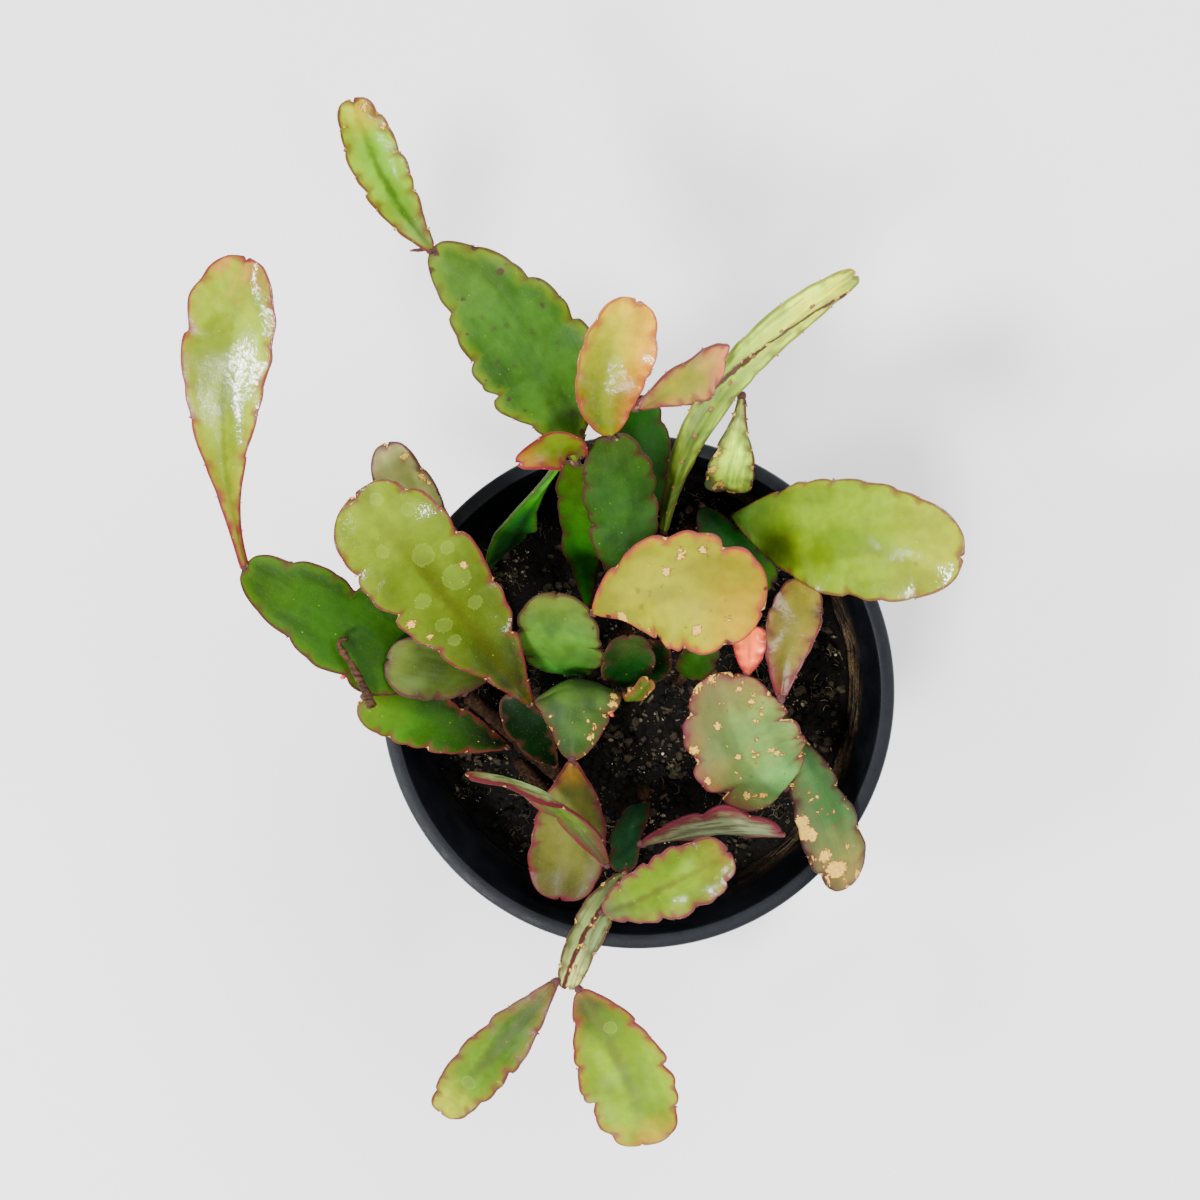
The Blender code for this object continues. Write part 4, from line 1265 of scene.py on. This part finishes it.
def build_areoles(pads, material):
    """Felted areoles in the notches, at the tips and along the third wings."""
    bm = bmesh.new()
    felt = bm.verts.layers.float.new("felt")
    rng = Random(11)
    for pad in pads:
        large = 1.0 + 0.9 * SKINS[pad.name][1].scars
        for side in (-1, 1):
            for along in pad.notches(side):
                add_areole(bm, pad, along, side, felt, rng, large)
            for along in pad.teeth(side):
                add_areole(bm, pad, along, side, felt, rng, 0.75 * large)
        heading, right, up = pad.axes(1.0)
        add_lump(bm, pad.surface(0.985, 0), right, up, (0.8, 0.5, 0.5), felt, 0.6, rng)
        if pad.keel:
            for step in range(2 * pad.lobes - 1):
                along = (step + 0.8) / (2 * pad.lobes)
                heading, right, up = pad.axes(along)
                place = pad.surface(along, 0, 1) - up * 0.1
                size = rng.uniform(0.45, 0.75)
                add_lump(bm, place, heading, up, (size * 1.5, size, size * 0.7), felt, 0.9, rng)
    settle(bm, "areoles", material)


def build_joints(pads, material):
    """Woody collars where each pad grows from what bears it, and a few dried scales there."""
    bm = bmesh.new()
    felt = bm.verts.layers.float.new("felt")
    rng = Random(23)
    for pad in pads:
        heading, right, up = pad.axes(0.0)
        place = pad.base - heading * 0.35
        add_lump(bm, place, heading, up, (1.25, 1.15, 1.05), felt, 0.15, rng, 0.08)
        for _ in range(3):
            side = right * rng.uniform(-1, 1) + up * rng.uniform(-1, 1)
            spot = place + side.normalized() * 1.0 + heading * 0.5
            add_lump(bm, spot, heading, up, (0.9, 0.45, 0.3), felt, rng.uniform(0, 0.6), rng)
    named = {pad.name: pad for pad in pads}
    for name, lean, length in BRACTS:
        pad = named[name]
        lean = Vector(lean).normalized()
        up = pad.axes(0.0)[2]
        middle = pad.base + lean * length
        add_lump(bm, middle, lean, up, (length, 0.55, 0.4), felt, 0.1, rng, 0.12)
        tip = pad.base + lean * 1.8 * length
        add_lump(bm, tip, lean, up, (0.5, 0.4, 0.35), felt, 1.0, rng, 0.2)
    settle(bm, "joints", material)


def build_buds(pads, material):
    """Small pink young buds at a few notches."""
    bm = bmesh.new()
    felt = bm.verts.layers.float.new("felt")
    rng = Random(31)
    named = {pad.name: pad for pad in pads}
    for name, side, number in BUDS:
        pad = named[name]
        along = pad.notches(side)[number]
        heading, right, up = pad.axes(along)
        lean = (right * side + heading * 0.7 + up * 0.3).normalized()
        place = pad.surface(along, side) + lean * 0.5
        add_lump(bm, place, lean, up, (1.3, 0.7, 0.55), felt, 0.0, rng, 0.05)
    settle(bm, "buds", material)


# Pot

def inner_radius(height):
    """Radius of the pot's inner wall at a height above the table."""
    top = RIM_DIAMETER / 2 - LIP_WIDTH
    bottom = BASE_DIAMETER / 2 - WALL
    return bottom + (top - bottom) * (height - FLOOR) / (POT_HEIGHT - FLOOR)


def pot_profile():
    """Half section: inner floor, inner wall, flat rim, hanging lip, outer wall, base."""
    rim = RIM_DIAMETER / 2
    inner = rim - LIP_WIDTH
    base = BASE_DIAMETER / 2
    lip_foot = POT_HEIGHT - LIP_DROP
    under_rim = POT_HEIGHT - WALL
    middle = (POT_HEIGHT + FLOOR) / 2
    over_soil = SOIL_TOP + 6
    return [
        (0, FLOOR),
        (HUB, FLOOR),
        (HUB + 0.4, FLOOR - 0.25),
        (base - WALL - 1.2, FLOOR),
        (base - WALL, FLOOR + 0.8),
        (inner_radius(LEDGE), LEDGE),
        (inner_radius(middle), middle),
        (inner_radius(over_soil), over_soil),
        (inner - 0.1, POT_HEIGHT - 1.6),
        (inner, POT_HEIGHT - 0.5),
        (inner + 0.2, POT_HEIGHT - 0.15),
        (inner + 0.6, POT_HEIGHT),
        (rim - 0.7, POT_HEIGHT),
        (rim - 0.25, POT_HEIGHT - 0.2),
        (rim, POT_HEIGHT - 0.7),
        (rim - 0.35, lip_foot + 0.5),
        (rim - 0.55, lip_foot),
        (rim - 0.3 - WALL, lip_foot),
        (rim - 0.5 - WALL, lip_foot + 0.4),
        (rim - WALL, under_rim - 0.6),
        (rim - WALL - 0.6, under_rim),
        (inner + WALL + 0.6, under_rim),
        (inner + WALL, under_rim - 0.6),
        (base + WALL + 5.5, LEDGE + 0.7),
        (base + WALL + 4.9, LEDGE),
        (base + 0.5, FLOOR),
        (base + 0.15, 0.7),
        (base - 0.6, 0),
        (base - 3.4, 0),
        (base - 4.0, 0.6),
        (HUB, 0.6),
        (HUB - 0.6, 0),
        (0, 0),
    ]


def drain_drill():
    """The cutters of the drain holes, as one object."""
    bm = bmesh.new()
    for index in range(DRAIN_HOLES):
        angle = 2 * pi * (index + 0.5) / DRAIN_HOLES
        centre = (DRAIN_CIRCLE / 2 * cos(angle), DRAIN_CIRCLE / 2 * sin(angle), 0)
        bmesh.ops.create_cone(bm, cap_ends=True, segments=24, radius1=DRAIN_DIAMETER / 2,
                              radius2=DRAIN_DIAMETER / 2, depth=4 * FLOOR,
                              matrix=Matrix.Translation(centre))
    return make_object(bm, "drain_drill")


def build_pot(material):
    """Turned pot, with its drain holes cut through the base."""
    bm = bmesh.new()
    points = [bm.verts.new((radius, 0, height)) for radius, height in pot_profile()]
    edges = [bm.edges.new(pair) for pair in zip(points, points[1:])]
    bmesh.ops.spin(bm, geom=points + edges, cent=(0, 0, 0), axis=(0, 0, 1), angle=2 * pi,
                   steps=POT_TURNS, use_merge=True)
    bmesh.ops.remove_doubles(bm, verts=bm.verts, dist=0.001)
    pot = settle(bm, "pot_shell", material, ["pot"])
    drill = drain_drill()
    holes = pot.modifiers.new("drain_holes", "BOOLEAN")
    holes.operation = "DIFFERENCE"
    holes.solver = "EXACT"
    holes.object = drill
    bpy.context.view_layer.update()
    drilled = pot.evaluated_get(bpy.context.evaluated_depsgraph_get())
    mesh = bpy.data.meshes.new_from_object(drilled)
    pot.modifiers.clear()
    pot.data = mesh
    mesh.set_sharp_from_angle(angle=SHARP_FROM)
    bpy.data.objects.remove(drill)


# Soil

def soil_height(x, y):
    """Lumpy top of the soil, a little lower against the wall."""
    lumps = noise.noise(Vector((x, y, 0)) / SOIL_LUMP)
    crumbs = noise.noise(Vector((x, y, 40)) / (SOIL_LUMP / 2.6))
    edge = (hypot(x, y) / inner_radius(SOIL_TOP)) ** 6
    return SOIL_TOP + SOIL_RELIEF * lumps + 0.6 * SOIL_RELIEF * crumbs - edge


def fine_soil_height(x, y):
    """Top of the soil with its grains and clods."""
    spot = Vector((x, y, 7.0))
    grains = 1.3 * noise.noise(spot / 2.3) + 0.7 * noise.noise(spot / 1.1)
    clods = 2.6 * abs(noise.noise(spot / 5.2 + Vector((9.0, 0, 0))))
    return soil_height(x, y) + grains + clods - 1.0


def on_soil(x, y, lift):
    return Vector((x, y, fine_soil_height(x, y) + lift))


def build_soil(material):
    """The bed: a round block with a fine lumpy top."""
    bm = bmesh.new()
    bottom = FLOOR + 0.3
    depth = SOIL_TOP - bottom
    wide = inner_radius(SOIL_TOP) - 0.25
    bmesh.ops.create_cone(bm, cap_ends=True, segments=SOIL_STEPS,
                          radius1=inner_radius(bottom) - 0.6, radius2=wide, depth=depth,
                          matrix=Matrix.Translation((0, 0, bottom + depth / 2)))
    top = max(bm.faces, key=lambda face: face.calc_center_median().z)
    for _ in range(SOIL_RINGS):
        bmesh.ops.inset_region(bm, faces=[top], thickness=wide / (SOIL_RINGS + 1.0),
                               use_even_offset=False)
    bmesh.ops.poke(bm, faces=[top])
    for vert in bm.verts:
        if vert.co.z > SOIL_TOP - 1:
            vert.co.z = fine_soil_height(vert.co.x, vert.co.y)
    settle(bm, "soil_bed", material, ["soil"])


def scatter(rng, count, reach):
    """Even random places on the soil."""
    places = []
    while len(places) < count:
        x, y = rng.uniform(-reach, reach), rng.uniform(-reach, reach)
        if hypot(x, y) < reach:
            places.append((x, y))
    return places


def tumbled(rng):
    """Two directions of a lump that lies as it fell."""
    turn = Euler((rng.uniform(0, pi), rng.uniform(0, pi), 0)).to_matrix()
    return turn.col[0], turn.col[1]


def clamped(value, low, high):
    return min(max(value, low), high)


def add_crumb(bm, tone, spot, rng):
    """A crumb. They are paler in clumps, and the large ones stay dark."""
    x, y = spot
    size = 0.2 + 1.25 * rng.random() ** 5
    heading, up = tumbled(rng)
    sizes = (size * rng.uniform(0.9, 1.5), size, size * 0.8)
    clump = noise.noise(Vector((x, y, 90.0)) / 8.0)
    palest = 0.3 if size > 0.8 else 0.8
    value = clamped(0.24 + 1.2 * clump + rng.uniform(-0.25, 0.25), 0.0, palest)
    add_lump(bm, on_soil(x, y, size * 0.3), heading, up, sizes, tone, value, rng, 0.42)


def add_grit(bm, tone, spot, rng):
    """A pale grain of grit."""
    size = 0.11 + 0.4 * rng.random() ** 3
    heading, up = tumbled(rng)
    value = rng.uniform(0.85, 1.0)
    add_lump(bm, on_soil(*spot, size * 0.5), heading, up, (size, size, size * 0.8), tone, value,
             rng, 0.25)


def add_chip(bm, tone, spot, rng):
    """A flat splinter of bark that lies on the soil."""
    length = rng.uniform(1.2, 3.2)
    sizes = (length, length * rng.uniform(0.2, 0.4), rng.uniform(0.3, 0.6))
    turn = Euler((rng.uniform(-0.5, 0.5), rng.uniform(-0.5, 0.5), rng.uniform(0, 2 * pi)))
    place = Matrix.Translation(on_soil(*spot, 0.5)) @ turn.to_matrix().to_4x4()
    made = bmesh.ops.create_cube(bm, size=1, matrix=place @ Matrix.Diagonal((*sizes, 1)))["verts"]
    edges = list({edge for vert in made for edge in vert.link_edges})
    cut = bmesh.ops.bevel(bm, geom=edges, offset=0.16, offset_type="OFFSET", segments=1,
                          profile=0.5, affect="EDGES", material=-1)
    value = rng.uniform(0.15, 0.5)
    for vert in cut["verts"]:
        vert.co += Vector([rng.uniform(-0.1, 0.1) for _ in range(3)])
        vert[tone] = value


def build_crumbs(material):
    """Loose crumbs, pale grit and bits of bark on the soil."""
    rng = Random(5)
    batches = fill_batches(scatter(rng, CRUMBS, CRUMB_REACH), rng, add_crumb)
    batches += fill_batches(scatter(rng, GRIT, GRIT_REACH), rng, add_grit)
    batches += fill_batches(scatter(rng, BARK_CHIPS, CHIP_REACH), rng, add_chip)
    settle(gather(batches), "soil_crumbs", material)


def add_thread(bm, tone, start, rng):
    """A thin root or moss thread that wanders over the soil."""
    x, y, pale = start
    heading = rng.uniform(0, 2 * pi)
    curl = rng.uniform(-0.5, 0.5)
    radius = rng.uniform(0.06, 0.14)
    points = []
    for step in range(rng.randint(3, 7)):
        if hypot(x, y) > THREAD_REACH:
            break
        hump = 0.7 * abs(sin(step * 0.8 + heading))
        points.append(on_soil(x, y, radius + hump))
        heading += curl + rng.uniform(-0.6, 0.6)
        x += THREAD_STEP * cos(heading)
        y += THREAD_STEP * sin(heading)
    if len(points) > 2:
        value = clamped(pale + rng.uniform(-0.15, 0.2), 0.0, 0.8)
        add_tube(bm, smoothed(points, 1), [radius] * len(points), 4, tone, value)


def add_wall_thread(bm, tone, number, rng):
    """A thread that clings to the right side of the wall, just above the soil."""
    angle = rng.uniform(-0.9, 0.75)
    height = rng.uniform(87.0, 93.0)
    radius = rng.uniform(0.08, 0.2)
    points = []
    for _ in range(rng.randint(5, 12)):
        reach = inner_radius(height) - radius - 0.05
        points.append(Vector((reach * cos(angle), reach * sin(angle), height)))
        angle += WALL_THREAD_STEP / reach
        height += rng.uniform(-0.3, 0.3)
    value = rng.uniform(0.25, 0.5)
    add_tube(bm, smoothed(points, 1), [radius] * len(points), 4, tone, value)


def build_fibres(material):
    """Thin roots and moss threads that lie in tufts on the soil and cling to the wall."""
    rng = Random(8)
    starts = []
    for x, y in scatter(rng, TUFTS, TUFT_REACH):
        spread = rng.uniform(1.2, 3.4)
        pale = rng.uniform(0.25, 0.7)
        for _ in range(THREADS_IN_TUFT):
            starts.append((rng.gauss(x, spread), rng.gauss(y, spread), pale))
    batches = fill_batches(starts, rng, add_thread)
    batches += fill_batches(range(WALL_THREADS), rng, add_wall_thread)
    settle(gather(batches), "soil_fibres", material)


# Finishes that aren't skin

def pot_finish():
    """Satin black plastic, with a painted sheen on the rim's top and a painted highlight along its
    outer edge, and soil and scale on the inner wall.
    """
    paint = Paint("pot_plastic")
    place = paint.millimetres()
    across, away, height = paint.node("ShaderNodeSeparateXYZ", {0: place}).outputs
    square = paint.compute("ADD", paint.compute("POWER", across, 2.0),
                           paint.compute("POWER", away, 2.0))
    radius = paint.compute("SQRT", square)
    fine = paint.clouds(place, 1.6, 4.0, 0.65)
    medium = paint.clouds(place, 0.16, 3.0, 0.55)
    paint.colour = paint.grade(medium, 0.3, 0.75, shade(10, 12, 17), shade(17, 19, 24))
    paint.lay(paint.ramp(fine, 0.6, 0.75, 0.0, 0.5), shade(27, 28, 31))

    # Painted sheen: the flat top of the rim is made a little paler, as where it catches the light.
    lit_rim_top = paint.ramp(height, POT_HEIGHT - 1.4, POT_HEIGHT - 0.6)
    paint.lay(paint.multiply(lit_rim_top, 0.25), shade(31, 34, 38))
    # Painted highlight: a pale line along the rim's outer edge, broken up by noise.
    rim = RIM_DIAMETER / 2
    rim_edge_highlight = paint.multiply(paint.ramp(radius, rim - 0.65, rim - 0.25), lit_rim_top,
                            paint.ramp(medium, 0.35, 0.6, 0.3, 0.9))
    paint.lay(rim_edge_highlight, shade(60, 62, 65))

    slope = (inner_radius(POT_HEIGHT) - inner_radius(FLOOR)) / (POT_HEIGHT - FLOOR)
    off_wall = paint.compute("SUBTRACT", paint.add_share(height, -slope, radius),
                             inner_radius(0.0))
    inside = paint.ramp(off_wall, 0.7, 0.3)
    splash = paint.ramp(height, SOIL_TOP + 12, SOIL_TOP + 2)
    right_side = paint.ramp(across, 5.0, 58.0, 0.06, 1.0)
    smears = paint.streaks(place, (0.12, 0.12, 0.3), 5.0, 0.7)
    dirt = paint.multiply(inside, splash, right_side, paint.ramp(smears, 0.38, 0.6))
    paint.lay(dirt, paint.grade(fine, 0.4, 0.62, shade(50, 40, 28), shade(120, 96, 66)))
    dust = paint.ramp(paint.clouds(place, 0.7, 5.0, 0.7), 0.6, 0.72, 0.0, 0.25)
    paint.lay(dust, shade(40, 41, 42))

    rough = paint.add_share(dirt, 0.4, paint.ramp(medium, 0.3, 0.7, 0.36, 0.5))
    turned = paint.streaks(place, (0.05, 0.05, 2.2), 2.0)
    return paint.finish(rough, paint.add_share(turned, 1.4, fine), 0.08, 0.12)


def soil_finish(name, from_tone):
    """Dark peat. Loose bits take their shade from their own tone."""
    paint = Paint(name)
    place = paint.millimetres()
    fine = paint.clouds(place, 1.3, 6.0, 0.7)
    medium = paint.clouds(place, 0.28, 4.0, 0.6)
    paint.colour = paint.grade(fine, 0.35, 0.7, shade(5, 5, 5), shade(22, 18, 14))
    paint.lay(paint.ramp(medium, 0.45, 0.7, 0.0, 0.6), shade(7, 6, 5))
    bits = paint.cells(paint.stretched(place, (1.7, 1.1, 1.4)), 1.0)
    pale = paint.multiply(paint.ramp(bits["Color"], 0.86, 0.9),
                          paint.ramp(bits["Distance"], 0.45, 0.3),
                          paint.ramp(medium, 0.45, 0.6, 0.1, 0.8))
    paint.lay(pale, shade(98, 82, 58))
    if from_tone:
        tone = paint.drawn("tone")
        brown = paint.grade(fine, 0.3, 0.7, shade(40, 34, 26), shade(98, 86, 66))
        paint.lay(paint.ramp(tone, 0.1, 0.5), brown)
        tan = paint.grade(fine, 0.3, 0.7, shade(86, 76, 56), shade(154, 140, 108))
        paint.lay(paint.ramp(tone, 0.5, 0.8), tan)
        paint.lay(paint.ramp(tone, 0.82, 0.9), shade(196, 188, 170))
    return paint.finish(0.94, paint.add_share(medium, 1.5, fine), 0.5, 0.15)


def bark_finish():
    """Brown bark with lengthwise cracks and a grey bloom."""
    paint = Paint("woody_stem")
    place = paint.millimetres()
    cracks = paint.streaks(place, (1.1, 1.1, 0.3), 5.0, 0.65)
    patches = paint.clouds(place, 0.2)
    paint.colour = paint.grade(cracks, 0.35, 0.62, shade(14, 8, 4), shade(58, 37, 21))
    paint.lay(paint.ramp(patches, 0.45, 0.65, 0.0, 0.7), shade(28, 19, 12))
    paint.lay(paint.ramp(cracks, 0.62, 0.75, 0.0, 0.6), shade(84, 66, 44))
    return paint.finish(0.82, cracks, 0.8, 0.1)


def dried_finish():
    """Brown withered skin with pale folds."""
    paint = Paint("dried_strand")
    folds = paint.streaks(paint.millimetres(), (0.4, 1.2, 0.8), 5.0, 0.65)
    paint.colour = paint.grade(folds, 0.32, 0.6, shade(28, 17, 10), shade(76, 50, 32))
    paint.lay(paint.ramp(folds, 0.6, 0.72, 0.0, 0.7), shade(124, 88, 52))
    return paint.finish(0.7, folds, 0.7, 0.15)


def felt_finish():
    """Beige felt and cork, or a red-brown scale, by the value on each knob."""
    paint = Paint("areole_felt")
    fine = paint.clouds(paint.millimetres(), 3.0, 4.0, 0.6)
    felt = paint.grade(fine, 0.35, 0.65, CORK_RIM, FELT)
    scale = paint.grade(fine, 0.35, 0.65, DARK_BRACT, BRACT)
    paint.colour = paint.grade(paint.drawn("felt"), 0.2, 0.7, scale, felt)
    return paint.finish(0.8, fine, 0.2)


def bud_finish():
    paint = Paint("young_bud")
    fine = paint.clouds(paint.millimetres(), 0.9)
    paint.colour = paint.grade(fine, 0.35, 0.65, shade(146, 42, 43), shade(203, 74, 48))
    return paint.finish(0.3, fine)


def floor_finish():
    paint = Paint("pale_floor")
    paint.colour = shade(247, 247, 247)
    return paint.finish(0.9, specular=0.1)


# Studio

def add_lamp(name, bearing, rise, size, power):
    """A round lamp that faces the plant."""
    light = bpy.data.lights.new(name, "AREA")
    light.shape = "DISK"
    light.size = size
    light.energy = power
    lamp = bpy.data.objects.new(name, light)
    flat = LAMP_DISTANCE * cos(radians(rise))
    place = Vector((flat * cos(radians(bearing)), flat * sin(radians(bearing)),
                    LAMP_DISTANCE * sin(radians(rise))))
    lamp.location = place + Vector((0, 0, PLANT_MIDDLE))
    lamp.rotation_euler = place.to_track_quat("Z", "Y").to_euler()
    bpy.context.scene.collection.objects.link(lamp)


def build_studio():
    """Pale floor, soft lamps and the camera, which looks straight down."""
    bm = bmesh.new()
    bmesh.ops.create_grid(bm, x_segments=2, y_segments=2, size=FLOOR_REACH / MM)
    floor = make_object(bm, "floor")
    floor.data.materials.append(floor_finish())
    for name, looks in LAMPS.items():
        add_lamp(name, *looks)
    world = bpy.data.worlds.new("studio")
    world.use_nodes = True
    sky = world.node_tree.nodes["Background"]
    sky.inputs["Color"].default_value = (1.0, 1.0, 1.0, 1.0)
    sky.inputs["Strength"].default_value = SKY_LIGHT
    bpy.context.scene.world = world
    lens = bpy.data.cameras.new("camera")
    lens.sensor_width = SENSOR
    lens.lens = LENS
    lens.clip_start = 0.01
    lens.clip_end = 10.0
    camera = bpy.data.objects.new("camera", lens)
    camera.location = CAMERA_PLACE
    bpy.context.scene.collection.objects.link(camera)
    bpy.context.scene.camera = camera


def main():
    west = grow_west()
    pads = grow_north() + grow_east() + west + grow_centre() + grow_south()
    bark = bark_finish()
    dried = dried_finish()
    felt = felt_finish()
    for pad in pads:
        slot, skin = SKINS[pad.name]
        build_pad(pad, skin)
    build_stems(grow_stems(), bark)
    build_curl(grow_curl(west[0]), dried)
    build_areoles(pads, felt)
    build_joints(pads, felt)
    build_buds(pads, bud_finish())
    build_pot(pot_finish())
    build_soil(soil_finish("potting_soil", False))
    loose = soil_finish("loose_soil", True)
    build_crumbs(loose)
    build_fibres(loose)
    build_studio()


main()
